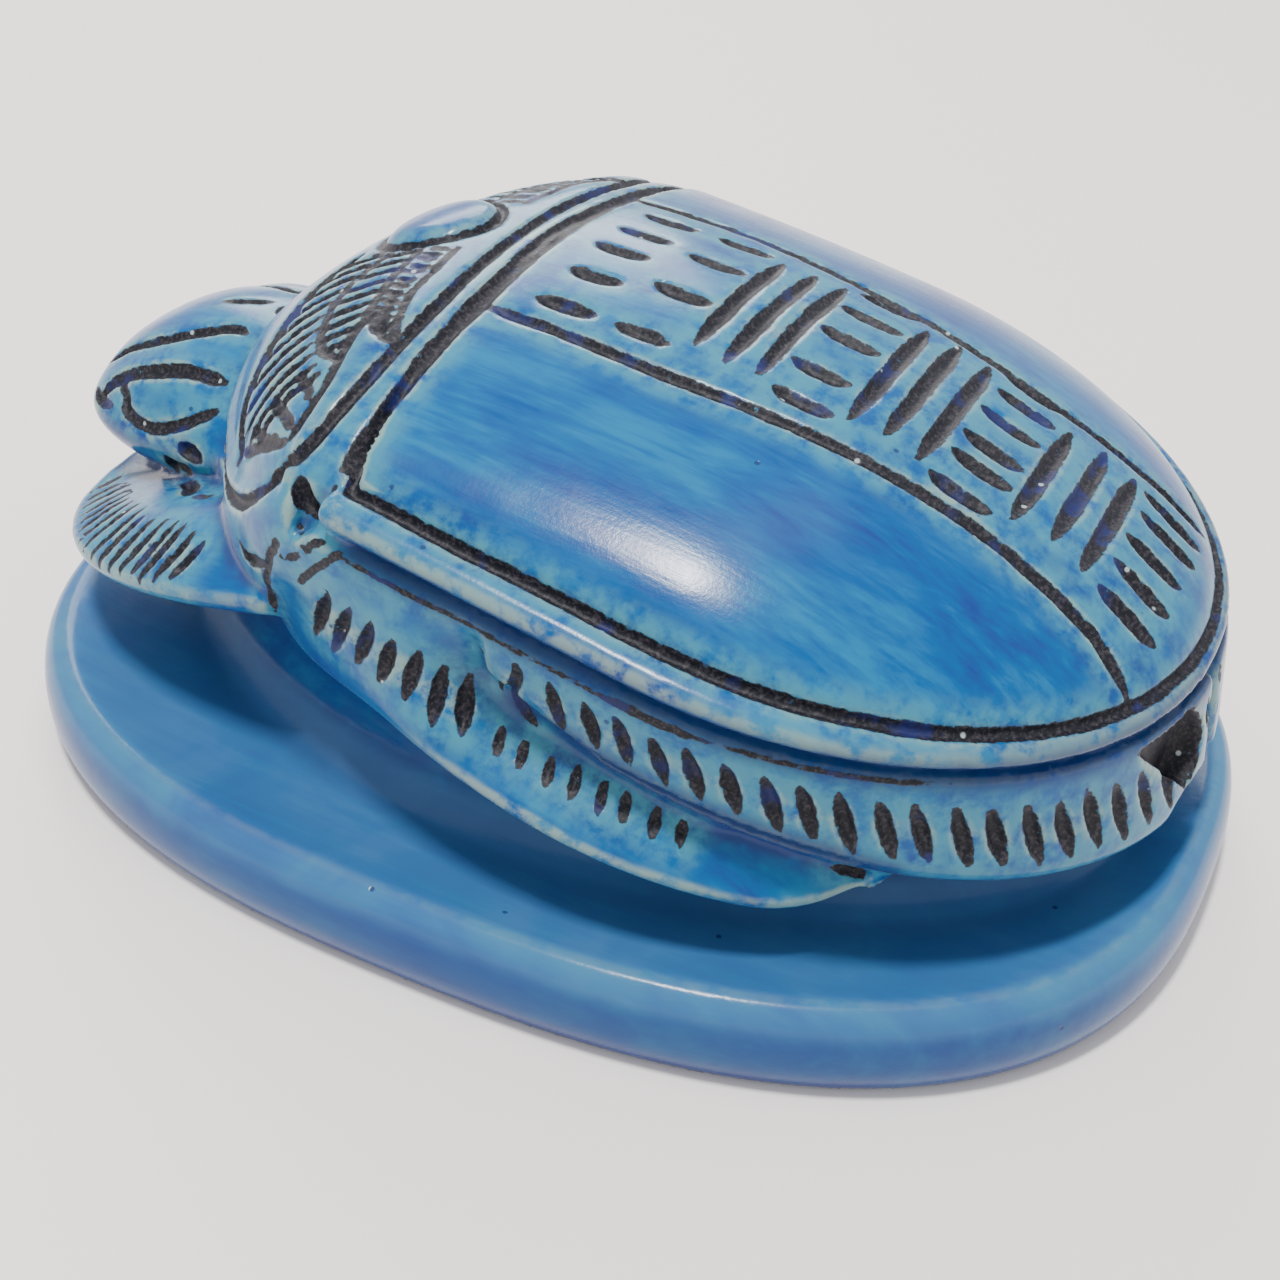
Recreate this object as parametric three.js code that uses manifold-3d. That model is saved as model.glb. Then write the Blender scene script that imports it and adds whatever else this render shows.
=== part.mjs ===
import * as THREE from 'three';
import { mergeVertices } from 'three/addons/utils/BufferGeometryUtils.js';
import Module from 'manifold-3d';

// A large glazed scarab on an oval base, moulded in one piece. Millimetres, +Z up.
// The head points to -Y and the tail to +Y. The origin is the middle of the flat underside.

// Oval base
const baseLength = 100;
const baseWidth = 75.3;
const baseSquareness = 2.53;
const baseTaper = 0.052;
const footInset = 1.1;
const bulgeHeight = 3.6;
const crestHeight = 7.75;
const crestInset = 2.3;
const dishDepth = 1.25;
const dishInset = 9;

// Wing cases: a domed D in plan, straight in front and round at the tail
const caseHalfWidth = 27.9;
const caseFront = 8.5;
const caseShoulder = 14.1;
const caseTail = 44.5;
const caseRoundness = 2.05;
const caseDome = 9.9;
const caseDomeSag = 4.1e-4;
const domeSharpness = 1.6;
const borderLevel = 32.8;
const borderSlope = 0.175;
const frontBow = 9e-4;

// Bead around the wing cases, past the border groove
const grooveWidth = 1.2;
const grooveDepth = 1;
const beadReach = 2.7;
const beadTailReach = 1.6;
const beadDrop = 5.4;

// Shield behind the head, and the thin collar between shield and wing cases
const shieldHalfWidth = 27;
const shieldRear = 12.5;
const shieldFront = 34.2;
const shieldRoundness = 1.85;
const shieldCrown = 41.6;
const shieldPeak = 5;
const shieldFrontLevel = 29.8;
const shieldCornerLevel = 33.4;
const shieldSideDrop = 5.2;
const shieldRim = 0.7;
const shieldRimDrop = 3.4;
const flankDrop = 9;
const flankFront = 31;
const flankRear = 25;
const collarFront = 11.3;
const collarRear = 9.7;

// Winged disc on the shield
const discRadius = 4.2;
const discRise = 0.9;
const discPlace = 18.9;
const longFeathers = {
  count: 9,
  rear: [[6, -22.5], [21.5, -16.8]],
  front: [[8.5, -29.6], [22.5, -21.5]],
  cut: { width: 0.9, depth: 0.6, bend: 0.12 },
};
const shortFeathers = {
  count: 5,
  rear: [[7, -18.5], [18, -15.6]],
  front: [[9.5, -21.5], [20, -17.4]],
  cut: { width: 0.8, depth: 0.5, bend: 0 },
};
const wingLeaf = { from: [7.8, -19.8], to: [16.5, -13.6], width: 2.2, depth: 0.8, bend: 0.14 };

// Head
const headHalfWidth = 13.4;
const headTip = 50;
const headRear = 30;
const headRoundness = 4;
const headRearLevel = 28.8;
const headTipLevel = 23;
const headSideLevel = 20.6;
const headUnderside = 14;
const headTuck = 6;
const ridgeLine = { from: [4, -36], to: [6.6, -47], width: 1.1, depth: 0.9 };
const eye = { x: 9.4, y: -40.6, halfLength: 6.4, halfWidth: 2.2, line: 1, depth: 0.8 };

// Forelegs: ribbed fans beside the head
const fanInside = 6;
const fanHalfWidth = 27.8;
const fanRear = 17;
const fanFront = 47.2;
const fanRoundness = 2.5;
const fanFrontLevel = 14.4;
const fanRearLevel = 21;
const fanThickness = 2.4;
const fanRootInset = 9;
const fanRootDrop = 4;
const shoulderX = 22.5;
const shoulderY = 19;
const shoulderLevel = 27.4;
const shoulderWide = 22;
const shoulderLong = 30;
const ribs = {
  count: 11,
  rear: [[22.4, -39.2], [26.4, -25.5]],
  front: [[15, -43], [21.9, -26]],
  cut: { width: 0.8, depth: 0.55, bend: 0 },
};

// Middle legs, folded along the sides
const midHalfWidth = 32.3;
const midCentre = 8;
const midFront = 17;
const midFrontReach = 39.6;
const midRearReach = 33;
const midTip = 31;
const midDrop = 15.1;
const midExtraSlope = 0.04;
const midBendStart = -4;
const midBendEnd = 6;
const bigNotches = { count: 7, first: 0.11, last: 0.37, top: 0.42, bottom: 0.84, width: 1.7, depth: 0.9 };
const smallNotches = { count: 8, first: 0.4, last: 0.69, top: 0.72, bottom: 0.87, width: 1.1, depth: 0.6 };

// Hind legs, folded above them and around the tail
const hindHalfWidth = 28.6;
const hindTail = 47.3;
const hindStart = 3;
const hindDrop = 10.2;
const hindEndShare = 0.985;
const hindNotches = { count: 19, first: 0.05, last: 0.97, top: 0.25, bottom: 0.85, width: 1.5, depth: 0.9 };
const legBevel = 1.5;
const legTuck = 0.3;
const legRoot = 10;
const legRootDrop = 3.5;
const tipCurl = 1.2;
const notchSlant = 0.008;
const hollow = { width: 5.5, depth: 2.6, middle: 16.4, halfHeight: 3.4 };

// Body under the legs
const coreHalfWidth = 24;
const coreFront = 37;
const coreTail = 40;
const coreTop = 22;
const coreWaist = 14;
const coreRoundness = 2.6;
const coreFlare = 1;

// Panel of strokes along the back
const panelHalfWidth = 11.2;
const panelNarrowing = 0.012;
const panelRows = 8;
const panelFirst = 3.5;
const panelPitch = 5.4;
const lineWidth = 1.1;
const lineDepth = 0.8;
const strokeRoom = 16;
const strokeTilt = 1.1;
const strokeWidth = 1.7;
const strokeDepth = 0.9;

const glaze = new THREE.MeshStandardMaterial({ color: 0x3f96c4, roughness: 0.32, metalness: 0 });

const wasm = await Module();
wasm.setup();

const { clamp, lerp, smoothstep } = THREE.MathUtils;
const limit = (value) => clamp(value, 0, 1);
const point = (x, y, z) => new THREE.Vector3(x, y, z);

// One quarter of a superellipse as x for a given share of its length
function roundOff(share, exponent) {
  return (1 - limit(Math.abs(share)) ** exponent) ** (1 / exponent);
}

// Closed loop from a half outline that runs from the front middle to the tail middle at +X
function mirrorLoop(half) {
  const otherSide = half.slice(1, -1).reverse();
  return [...half, ...otherSide.map(([x, y]) => [-x, y])];
}

// Closed skin over rings of points, with a fan of triangles over each end
function skin(rings, { joinEnds = false, apex = null } = {}) {
  const positions = rings.flat().flatMap((p) => [p.x, p.y, p.z]);
  const size = rings[0].length;
  const indices = [];
  const spans = joinEnds ? rings.length : rings.length - 1;
  for (let i = 0; i < spans; i++) {
    const low = i * size;
    const high = ((i + 1) % rings.length) * size;
    for (let j = 0; j < size; j++) {
      const k = (j + 1) % size;
      indices.push(low + j, low + k, high + k, low + j, high + k, high + j);
    }
  }
  if (!joinEnds) {
    for (const [ring, start, flip] of [[rings[0], 0, true], [rings.at(-1), spans * size, false]]) {
      if (size === 3) {
        indices.push(start, start + (flip ? 2 : 1), start + (flip ? 1 : 2));
        continue;
      }
      const mean = ring.reduce((sum, p) => sum.add(p), point(0, 0, 0)).divideScalar(size);
      const centre = apex && !flip ? apex : mean;
      const hub = positions.length / 3;
      positions.push(centre.x, centre.y, centre.z);
      for (let j = 0; j < size; j++) {
        const k = (j + 1) % size;
        indices.push(...(flip ? [hub, start + k, start + j] : [hub, start + j, start + k]));
      }
    }
  }
  const geometry = new THREE.BufferGeometry();
  geometry.setAttribute('position', new THREE.Float32BufferAttribute(positions, 3));
  geometry.setIndex(indices);
  return geometry;
}

// Solid from a closed geometry, turned the right way out
function solid(geometry) {
  const merged = mergeVertices(geometry, 1e-4);
  const at = merged.attributes.position;
  const triangles = [];
  let volume = 0;
  const [a, b, c] = [point(0, 0, 0), point(0, 0, 0), point(0, 0, 0)];
  for (let i = 0; i < merged.index.count; i += 3) {
    const corners = [0, 1, 2].map((n) => merged.index.getX(i + n));
    if (new Set(corners).size < 3) continue;
    a.fromBufferAttribute(at, corners[0]);
    b.fromBufferAttribute(at, corners[1]);
    c.fromBufferAttribute(at, corners[2]);
    volume += a.dot(b.cross(c));
    triangles.push(corners);
  }
  const ordered = volume < 0 ? triangles.map(([p, q, r]) => [p, r, q]) : triangles;
  const mesh = new wasm.Mesh({
    numProp: 3,
    vertProperties: new Float32Array(at.array),
    triVerts: new Uint32Array(ordered.flat()),
  });
  return new wasm.Manifold(mesh);
}

const fuse = (pieces) => pieces.reduce((sum, piece) => sum.add(piece));
const mirrored = (make) => [make(1), make(-1)];

// Base

function baseOutline(inset, segments = 48) {
  const outline = [];
  for (let i = 0; i < segments; i++) {
    const angle = (i / segments) * Math.PI * 2 - Math.PI / 2;
    const [c, s] = [Math.cos(angle), Math.sin(angle)];
    const power = 2 / baseSquareness;
    const along = Math.sign(s) * Math.abs(s) ** power;
    const across = Math.sign(c) * Math.abs(c) ** power * (1 - baseTaper * along);
    outline.push([across * (baseWidth / 2 - inset), along * (baseLength / 2 - inset)]);
  }
  return outline;
}

function makeBase() {
  const floor = crestHeight - dishDepth;
  const profile = [
    [footInset, 0],
    [footInset * 0.3, bulgeHeight * 0.35],
    [0, bulgeHeight],
    [crestInset * 0.2, lerp(bulgeHeight, crestHeight, 0.5)],
    [crestInset * 0.55, lerp(bulgeHeight, crestHeight, 0.85)],
    [crestInset, crestHeight],
    [lerp(crestInset, dishInset, 0.35), lerp(floor, crestHeight, 0.42)],
    [dishInset, floor],
  ];
  return solid(skin(profile.map(([inset, z]) => baseOutline(inset).map(([x, y]) => point(x, y, z)))));
}

// Wing cases

const borderZ = (y) => borderLevel - borderSlope * y;

function caseHalfOutline(reach = 0, front = caseFront) {
  const half = [];
  const halfWidth = caseHalfWidth + reach;
  const frontSteps = 6;
  for (let i = 0; i <= frontSteps; i++) {
    const x = (i / frontSteps) * halfWidth;
    half.push([x, -front - frontBow * x * x]);
  }
  const corner = half.at(-1)[1];
  for (const share of [0.33, 0.67]) half.push([halfWidth, lerp(corner, caseShoulder, share)]);
  const turns = 12;
  const tailReach = reach * beadTailReach / beadReach;
  for (let i = 0; i <= turns; i++) {
    const angle = (i / turns) * Math.PI / 2;
    const power = 2 / caseRoundness;
    const along = Math.sin(angle) ** power * (caseTail + tailReach - caseShoulder);
    half.push([i === turns ? 0 : Math.cos(angle) ** power * halfWidth, caseShoulder + along]);
  }
  return half;
}

function caseTop(x, y) {
  const along = limit((y - caseShoulder) / (caseTail - caseShoulder));
  const across = limit(Math.abs(x) / caseHalfWidth);
  const reach = limit((across ** caseRoundness + along ** caseRoundness) ** (1 / caseRoundness));
  const forward = Math.max(caseShoulder - y, 0);
  const dome = caseDome * (1 - caseDomeSag * forward * forward);
  return borderZ(y) + dome * roundOff(reach, domeSharpness);
}

// Heap of rings that shrink towards a middle, with the given height at each point
function dome(outline, middle, shares, height, floor) {
  const rings = [outline.map(([x, y]) => point(x, y, floor))];
  for (const share of shares) {
    rings.push(outline.map(([x, y]) => {
      const px = lerp(middle[0], x, share);
      const py = lerp(middle[1], y, share);
      return point(px, py, height(px, py));
    }));
  }
  return solid(skin(rings, { apex: point(...middle, height(...middle)) }));
}

const domeShares = [1, 0.98, 0.91, 0.78, 0.57, 0.3];

function makeWingCases() {
  const outline = mirrorLoop(caseHalfOutline());
  return dome(outline, [0, caseShoulder], domeShares, caseTop, coreTop - beadDrop);
}

// Rounded bead that starts past the groove and tucks in under itself
function rimRings(outlineAt, levelAt, reach, dropAt) {
  const lip = grooveWidth;
  const profile = [
    [-reach, 1, 0],
    [reach * 0.7, 0.86, 0],
    [reach, 0.55, 0],
    [lerp(lip, reach, 0.85), 0.2, 0],
    [lip, 0, 0],
    [grooveWidth * 0.35, 0, grooveDepth],
  ];
  return profile.map(([out, share, sink]) => outlineAt(out).map(([x, y]) => {
    return point(x, y, levelAt(x, y) - share * dropAt(x, y) - sink);
  }));
}

function makeBead() {
  const outlineAt = (out) => mirrorLoop(caseHalfOutline(out, caseFront + 0.2));
  return solid(skin(rimRings(outlineAt, (x, y) => borderZ(y), beadReach, () => beadDrop)));
}

// Shield

function shieldHalfOutline(reach = 0) {
  const half = [];
  const halfWidth = shieldHalfWidth + reach;
  const length = shieldFront - shieldRear + reach;
  const turns = 9;
  for (let i = 0; i <= turns; i++) {
    const angle = (i / turns) * Math.PI / 2;
    const power = 2 / shieldRoundness;
    const y = -shieldRear - Math.cos(angle) ** power * length;
    half.push([Math.sin(angle) ** power * halfWidth, i === turns ? -shieldRear : y]);
  }
  const rearSteps = 5;
  for (let i = 1; i <= rearSteps; i++) {
    half.push([halfWidth * (1 - i / rearSteps), -shieldRear]);
  }
  return half;
}

const shieldShare = (y) => limit((-y - shieldRear) / (shieldFront - shieldRear));

function shieldEdge(y) {
  const share = shieldShare(y);
  const side = shieldCornerLevel - shieldSideDrop * limit(share * 2);
  return lerp(side, shieldFrontLevel, limit(share * 2 - 1) ** 2);
}

function shieldTop(x, y) {
  const share = shieldShare(y);
  const crown = lerp(shieldCrown, shieldFrontLevel, share ** 1.9);
  const halfWidth = Math.max(shieldHalfWidth * roundOff(share, shieldRoundness), 0.01);
  const across = limit(Math.abs(x) / halfWidth);
  return shieldEdge(y) + (crown - shieldEdge(y)) * (1 - across ** 2.2) ** (1 / domeSharpness);
}

function makeShield() {
  const shares = [1, 0.94, 0.78, 0.45];
  const peak = [0, -shieldRear - shieldPeak];
  const plate = dome(mirrorLoop(shieldHalfOutline()), peak, shares, shieldTop, coreTop);
  const outlineAt = (out) => mirrorLoop(shieldHalfOutline(Math.max(out, -shieldRim)));
  const levelAt = (x, y) => shieldEdge(y);
  const toFlank = (y) => smoothstep(y, -flankFront, -flankRear);
  const dropAt = (x, y) => lerp(shieldRimDrop, flankDrop, toFlank(y));
  const rim = solid(skin(rimRings(outlineAt, levelAt, grooveWidth + shieldRim, dropAt)));
  return plate.add(rim);
}

// Arched slab across the back between two places along the length
function arch(front, rear, sink, floor) {
  const steps = 12;
  const rings = [];
  for (const y of [-front, -rear]) {
    const ring = [point(-caseHalfWidth, y, floor), point(caseHalfWidth, y, floor)];
    for (let i = 0; i <= steps; i++) {
      const x = lerp(caseHalfWidth, -caseHalfWidth, i / steps);
      const share = limit((-y - caseFront) / (shieldRear - caseFront));
      const z = lerp(caseTop(x, -caseFront), shieldTop(x, -shieldRear), share);
      ring.push(point(x, y - frontBow * x * x, z - sink));
    }
    rings.push(ring);
  }
  return solid(skin(rings));
}

function makeCollar() {
  const floor = arch(shieldRear + 1, caseFront - 0.6, grooveDepth, coreTop);
  const band = arch(collarFront, collarRear, 0.1, coreTop);
  return floor.add(band);
}

function makeDisc() {
  const segments = 18;
  const rings = [];
  for (const [radius, rise] of [[1, -1.5], [1, 0.25], [0.8, 0.8], [0.4, 1]]) {
    const ring = [];
    for (let i = 0; i < segments; i++) {
      const angle = (i / segments) * Math.PI * 2;
      const x = Math.cos(angle) * discRadius * radius;
      const y = -discPlace + Math.sin(angle) * discRadius * radius;
      ring.push(point(x, y, shieldTop(x, y) + discRise * rise));
    }
    rings.push(ring);
  }
  return solid(skin(rings));
}

// Head

function headTop(x, y) {
  const share = limit((-y - headRear) / (headTip - headRear));
  const crown = lerp(headRearLevel, headTipLevel, share ** 3);
  const halfWidth = Math.max(headHalfWidth * roundOff(share, headRoundness), 0.01);
  const across = limit(Math.abs(x) / halfWidth);
  return headSideLevel + (crown - headSideLevel) * (1 - across ** 2) ** 0.7;
}

function headOutline(inset = 0) {
  const half = [];
  const turns = 9;
  for (let i = 0; i <= turns; i++) {
    const angle = (i / turns) * Math.PI / 2;
    const power = 2 / headRoundness;
    const x = Math.sin(angle) ** power * (headHalfWidth - inset);
    half.push([x, -headRear - Math.cos(angle) ** power * (headTip - headRear - inset)]);
  }
  half.push([headHalfWidth - inset, -headRear + 5], [0, -headRear + 5]);
  return mirrorLoop(half);
}

function makeHead() {
  const outline = headOutline();
  const rings = [
    headOutline(headTuck).map(([x, y]) => point(x, y, headUnderside)),
    headOutline(headTuck / 4).map(([x, y]) => point(x, y, lerp(headUnderside, headSideLevel, 0.45))),
    headOutline(0.2).map(([x, y]) => point(x, y, lerp(headUnderside, headSideLevel, 0.85))),
  ];
  for (const share of [1, 0.95, 0.8, 0.5]) {
    rings.push(outline.map(([x, y]) => {
      const px = x * share;
      const py = lerp(-headRear, y, share);
      return point(px, py, headTop(px, py));
    }));
  }
  return solid(skin(rings));
}

// Forelegs

const fanEdge = (y) => lerp(fanFrontLevel, fanRearLevel, limit((y + fanFront) / (fanFront - fanRear)) ** 1.3);

function fanOutline(side, inset = 0) {
  const outline = [];
  const turns = 9;
  for (let i = 0; i <= turns; i++) {
    const angle = (i / turns) * Math.PI / 2;
    const power = 2 / fanRoundness;
    const x = fanInside + Math.sin(angle) ** power * (fanHalfWidth - fanInside - inset);
    const y = -fanRear - Math.cos(angle) ** power * (fanFront - fanRear - inset);
    outline.push([side * x, y]);
  }
  outline.push([side * (fanHalfWidth - 3), -fanRear + 3]);
  outline.push([side * fanInside, -fanRear + 3]);
  return outline;
}

// Height of the fan, from its thin edge up to the shoulder
function fanTop(x, y) {
  const reachX = fanHalfWidth - fanInside;
  const across = limit((Math.abs(x) - fanInside) / reachX);
  const along = limit((-y - fanRear) / (fanFront - fanRear));
  const toEdge = limit((across ** fanRoundness + along ** fanRoundness) ** (1 / fanRoundness));
  const away = Math.hypot((Math.abs(x) - shoulderX) / shoulderWide, (y + shoulderY) / shoulderLong);
  const crown = lerp(shoulderLevel, fanFrontLevel, limit(away));
  return lerp(crown, fanEdge(y), toEdge ** 5);
}

function makeForeleg(side) {
  const outline = fanOutline(side);
  const rings = [
    fanOutline(side, fanRootInset).map(([x, y]) => point(x, y, fanEdge(y) - fanThickness - fanRootDrop)),
    fanOutline(side, fanRootInset / 4).map(([x, y]) => point(x, y, fanEdge(y) - fanThickness)),
    fanOutline(side, 0.4).map(([x, y]) => point(x, y, fanEdge(y) - fanThickness * 0.7)),
    outline.map(([x, y]) => point(x, y, fanEdge(y) - fanThickness * 0.3)),
  ];
  for (const share of [0.93, 0.6]) {
    rings.push(outline.map(([x, y]) => {
      const px = lerp(side * shoulderX, x, share);
      const py = lerp(-shoulderY, y, share);
      return point(px, py, fanTop(px, py));
    }));
  }
  return solid(skin(rings));
}

// Middle and hind legs: each has an upper edge under the bead and a bevelled lower edge

function midPath(share) {
  const start = -Math.asin((midCentre + midFront) / midFrontReach);
  const end = Math.asin((midTip - midCentre) / midRearReach);
  const angle = lerp(start, end, share);
  const length = angle < 0 ? midFrontReach : midRearReach;
  return [Math.cos(angle) * midHalfWidth, midCentre + Math.sin(angle) * length];
}

function hindPath(share) {
  const [first, last] = [-0.3, hindEndShare * Math.PI / 2];
  const angle = lerp(first, last, share);
  const power = 2 / caseRoundness;
  const along = Math.max(Math.sin(angle), 0) ** power * (hindTail - caseShoulder);
  const before = Math.min(angle, 0) / -first * (caseShoulder - hindStart);
  return [Math.cos(Math.max(angle, 0)) ** power * hindHalfWidth, caseShoulder + along + before];
}

// Outline point of the wing cases beside a point of a leg
function tuckUnder(x, y) {
  if (y < caseShoulder) return [caseHalfWidth, y];
  const along = (y - caseShoulder) / (caseTail - caseShoulder);
  const across = x / caseHalfWidth;
  const reach = (across ** caseRoundness + along ** caseRoundness) ** (1 / caseRoundness);
  return [x / reach, caseShoulder + (y - caseShoulder) / reach];
}

// Face of a leg: v runs from 0 at the upper edge to 1 at the lower edge
function hindFace(share, v) {
  const [x, y] = hindPath(share);
  const [tx, ty] = tuckUnder(x, y);
  const low = point(x, y, borderZ(y) - hindDrop);
  const high = point(tx - legTuck, ty, borderZ(ty) - beadDrop * 0.9);
  return high.lerp(low, v);
}

// The middle leg is flat in front and bends in behind the hind leg
function midFace(share, v) {
  const [x, y] = midPath(share);
  const [tx, ty] = tuckUnder(x, y);
  const low = point(x, y, borderZ(y) - midDrop - midExtraSlope * y);
  const high = point(tx - legTuck, ty, borderZ(ty) - beadDrop * 0.9);
  const flat = high.clone().lerp(low, 0.5);
  const behind = point(tx - legTuck * 3, ty, borderZ(ty) - hindDrop);
  const knee = flat.lerp(behind, smoothstep(y, midBendStart, midBendEnd));
  return v < 0.5 ? high.lerp(knee, v * 2) : knee.lerp(low, v * 2 - 1);
}

function inward(p, distance, rise) {
  const scale = 1 - distance / Math.hypot(p.x, p.y);
  return point(p.x * scale, p.y * scale, p.z + rise);
}

function makeLeg(side, face, stations, frontReach) {
  const rings = [];
  for (let i = 0; i <= stations; i++) {
    const share = i / stations;
    const reach = Math.min(1, frontReach + i * 0.25);
    const curl = Math.max(0, i - stations + 2);
    const high = face(share, 0);
    const low = inward(face(share, reach), tipCurl * curl * curl, 0);
    rings.push([
      inward(high, 6, 2),
      high,
      face(share, reach * 0.5),
      low,
      inward(low, 0.5, -legBevel),
      inward(low, legRoot, -legBevel - legRootDrop),
    ].map((p) => point(side * p.x, p.y, p.z)));
  }
  return solid(skin(rings));
}

// Body that carries everything on the base
function makeCore() {
  const rings = [];
  const segments = 20;
  const foot = crestHeight - dishDepth - 2;
  const profile = [[0, foot], [0, crestHeight], [coreFlare, coreWaist], [coreFlare, coreTop]];
  for (const [out, z] of profile) {
    const ring = [];
    for (let i = 0; i < segments; i++) {
      const angle = (i / segments) * Math.PI * 2;
      const [c, s] = [Math.cos(angle), Math.sin(angle)];
      const power = 2 / coreRoundness;
      const length = (s < 0 ? coreFront : coreTail) + out;
      const x = Math.sign(c) * Math.abs(c) ** power * (coreHalfWidth + out);
      ring.push(point(x, Math.sign(s) * Math.abs(s) ** power * length, z));
    }
    rings.push(ring);
  }
  return solid(skin(rings));
}

// Marks cut into a surface that is given as a function of two values

function surfaceFrame(surface, u, v) {
  const step = 0.01;
  const at = surface(u, v);
  const du = surface(u + step, v).sub(at);
  const dv = surface(u, v + step).sub(at);
  const normal = du.cross(dv).normalize();
  return { at, normal };
}

// Channel with a V section along a line of surface points, tapered at its ends when asked
function channel(frames, width, depth, { taper = 0, closed = false } = {}) {
  const rings = frames.map(({ at, normal }, i) => {
    const before = frames[closed ? (i + frames.length - 1) % frames.length : Math.max(i - 1, 0)].at;
    const after = frames[closed ? (i + 1) % frames.length : Math.min(i + 1, frames.length - 1)].at;
    const across = after.clone().sub(before).cross(normal).normalize();
    const share = i / (frames.length - 1);
    const size = taper ? Math.max(Math.sin(Math.PI * share), 0.02) ** taper : 1;
    const half = (width / 2) * size * 1.35;
    const top = at.clone().addScaledVector(normal, 0.35 * depth + 0.05);
    return [
      top.clone().addScaledVector(across, half),
      top.clone().addScaledVector(across, -half),
      at.clone().addScaledVector(normal, -depth * size),
    ];
  });
  return solid(skin(rings, { joinEnds: closed }));
}

const flatField = (height) => (x, y) => point(x, y, height(x, y));
const caseField = flatField(caseTop);
const shieldField = flatField(shieldTop);
const headField = flatField(headTop);
const fanField = flatField(fanTop);

function mark(surface, from, to, width, depth, { steps = 4, taper = 0.6, bend = 0, outward = 1 } = {}) {
  const frames = [];
  for (let i = 0; i <= steps; i++) {
    const share = i / steps;
    const bow = bend * Math.sin(Math.PI * share);
    const u = lerp(from[0], to[0], share) + bow * (to[1] - from[1]);
    const v = lerp(from[1], to[1], share) - bow * (to[0] - from[0]);
    const frame = surfaceFrame(surface, u, v);
    frame.normal.multiplyScalar(outward);
    frames.push(frame);
  }
  return channel(frames, width, depth, { taper });
}

// Long lines on both sides of the panel, meeting the border groove near the tail
function panelLine(side) {
  const frames = [];
  const steps = 11;
  for (let i = 0; i <= steps; i++) {
    const y = lerp(-caseFront - 0.4, caseTail - 3.2, i / steps);
    frames.push(surfaceFrame(caseField, side * (panelHalfWidth - panelNarrowing * y), y));
  }
  return channel(frames, lineWidth, lineDepth);
}

// Rows of plain strokes between the two lines
function panelStrokes() {
  const cuts = [];
  for (let row = 0; row < panelRows; row++) {
    const y = -panelFirst + row * panelPitch;
    const copies = row % 2 ? 1 : 2;
    const long = strokeRoom / copies / 2 - 1;
    for (let k = 0; k < copies; k++) {
      const middle = lerp(-strokeRoom, strokeRoom, (k + 0.5) / copies) / 2;
      const tilt = (row + k) % 2 ? strokeTilt : -strokeTilt;
      cuts.push(mark(caseField, [middle - long, y - tilt], [middle + long, y + tilt],
        strokeWidth, strokeDepth, { steps: 2 }));
    }
  }
  return cuts;
}

// Row of marks whose ends slide along two straight lines
function markRow(surface, side, { count, rear, front, cut }) {
  const cuts = [];
  for (let k = 0; k < count; k++) {
    const share = k / (count - 1);
    const [from, to] = [rear, front].map(([a, b]) => {
      return [side * lerp(a[0], b[0], share), lerp(a[1], b[1], share)];
    });
    const shape = { steps: 2, bend: side * cut.bend, taper: 0.4 };
    cuts.push(mark(surface, from, to, cut.width, cut.depth, shape));
  }
  return cuts;
}

// Feathers of one wing, from the disc out to the side, and the leaf that hangs under them
function wingFeathers(side) {
  const [from, to] = [wingLeaf.from, wingLeaf.to].map(([x, y]) => [side * x, y]);
  const shape = { steps: 3, bend: side * wingLeaf.bend };
  const leaf = mark(shieldField, from, to, wingLeaf.width, wingLeaf.depth, shape);
  return [...markRow(shieldField, side, longFeathers), ...markRow(shieldField, side, shortFeathers), leaf];
}

function headLines(side) {
  const [from, to] = [ridgeLine.from, ridgeLine.to].map(([x, y]) => [side * x, y]);
  const ridge = mark(headField, from, to, ridgeLine.width, ridgeLine.depth, { steps: 3, taper: 0.25 });
  const frames = [];
  const steps = 10;
  for (let i = 0; i < steps; i++) {
    const angle = (i / steps) * Math.PI * 2;
    const almond = Math.sin(angle) * Math.abs(Math.sin(angle)) ** 0.3;
    const x = side * (eye.x + eye.halfWidth * almond);
    frames.push(surfaceFrame(headField, x, eye.y - eye.halfLength * Math.cos(angle)));
  }
  return [ridge, channel(frames, eye.line, eye.depth, { closed: true })];
}

// Leaf-shaped notches along a leg, slanted a little
function notchRow(side, face, { count, first, last, top, bottom, width, depth }) {
  const mirrorFace = (u, v) => {
    const p = face(u, v);
    return point(side * p.x, p.y, p.z);
  };
  const cuts = [];
  for (let k = 0; k < count; k++) {
    const at = lerp(first, last, k / (count - 1));
    cuts.push(mark(mirrorFace, [at, top], [at + notchSlant, bottom], width, depth,
      { steps: 2, taper: 0.5, outward: -side }));
  }
  return cuts;
}

// Hollow between the ends of the two hind legs
function tailHollow() {
  const frames = [-1, -0.5, 0, 0.5, 1].map((share) => ({
    at: point(0, hindTail - 0.6, hollow.middle + hollow.halfHeight * share),
    normal: point(0, 1, 0),
  }));
  return channel(frames, hollow.width, hollow.depth, { taper: 0.5 });
}

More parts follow.
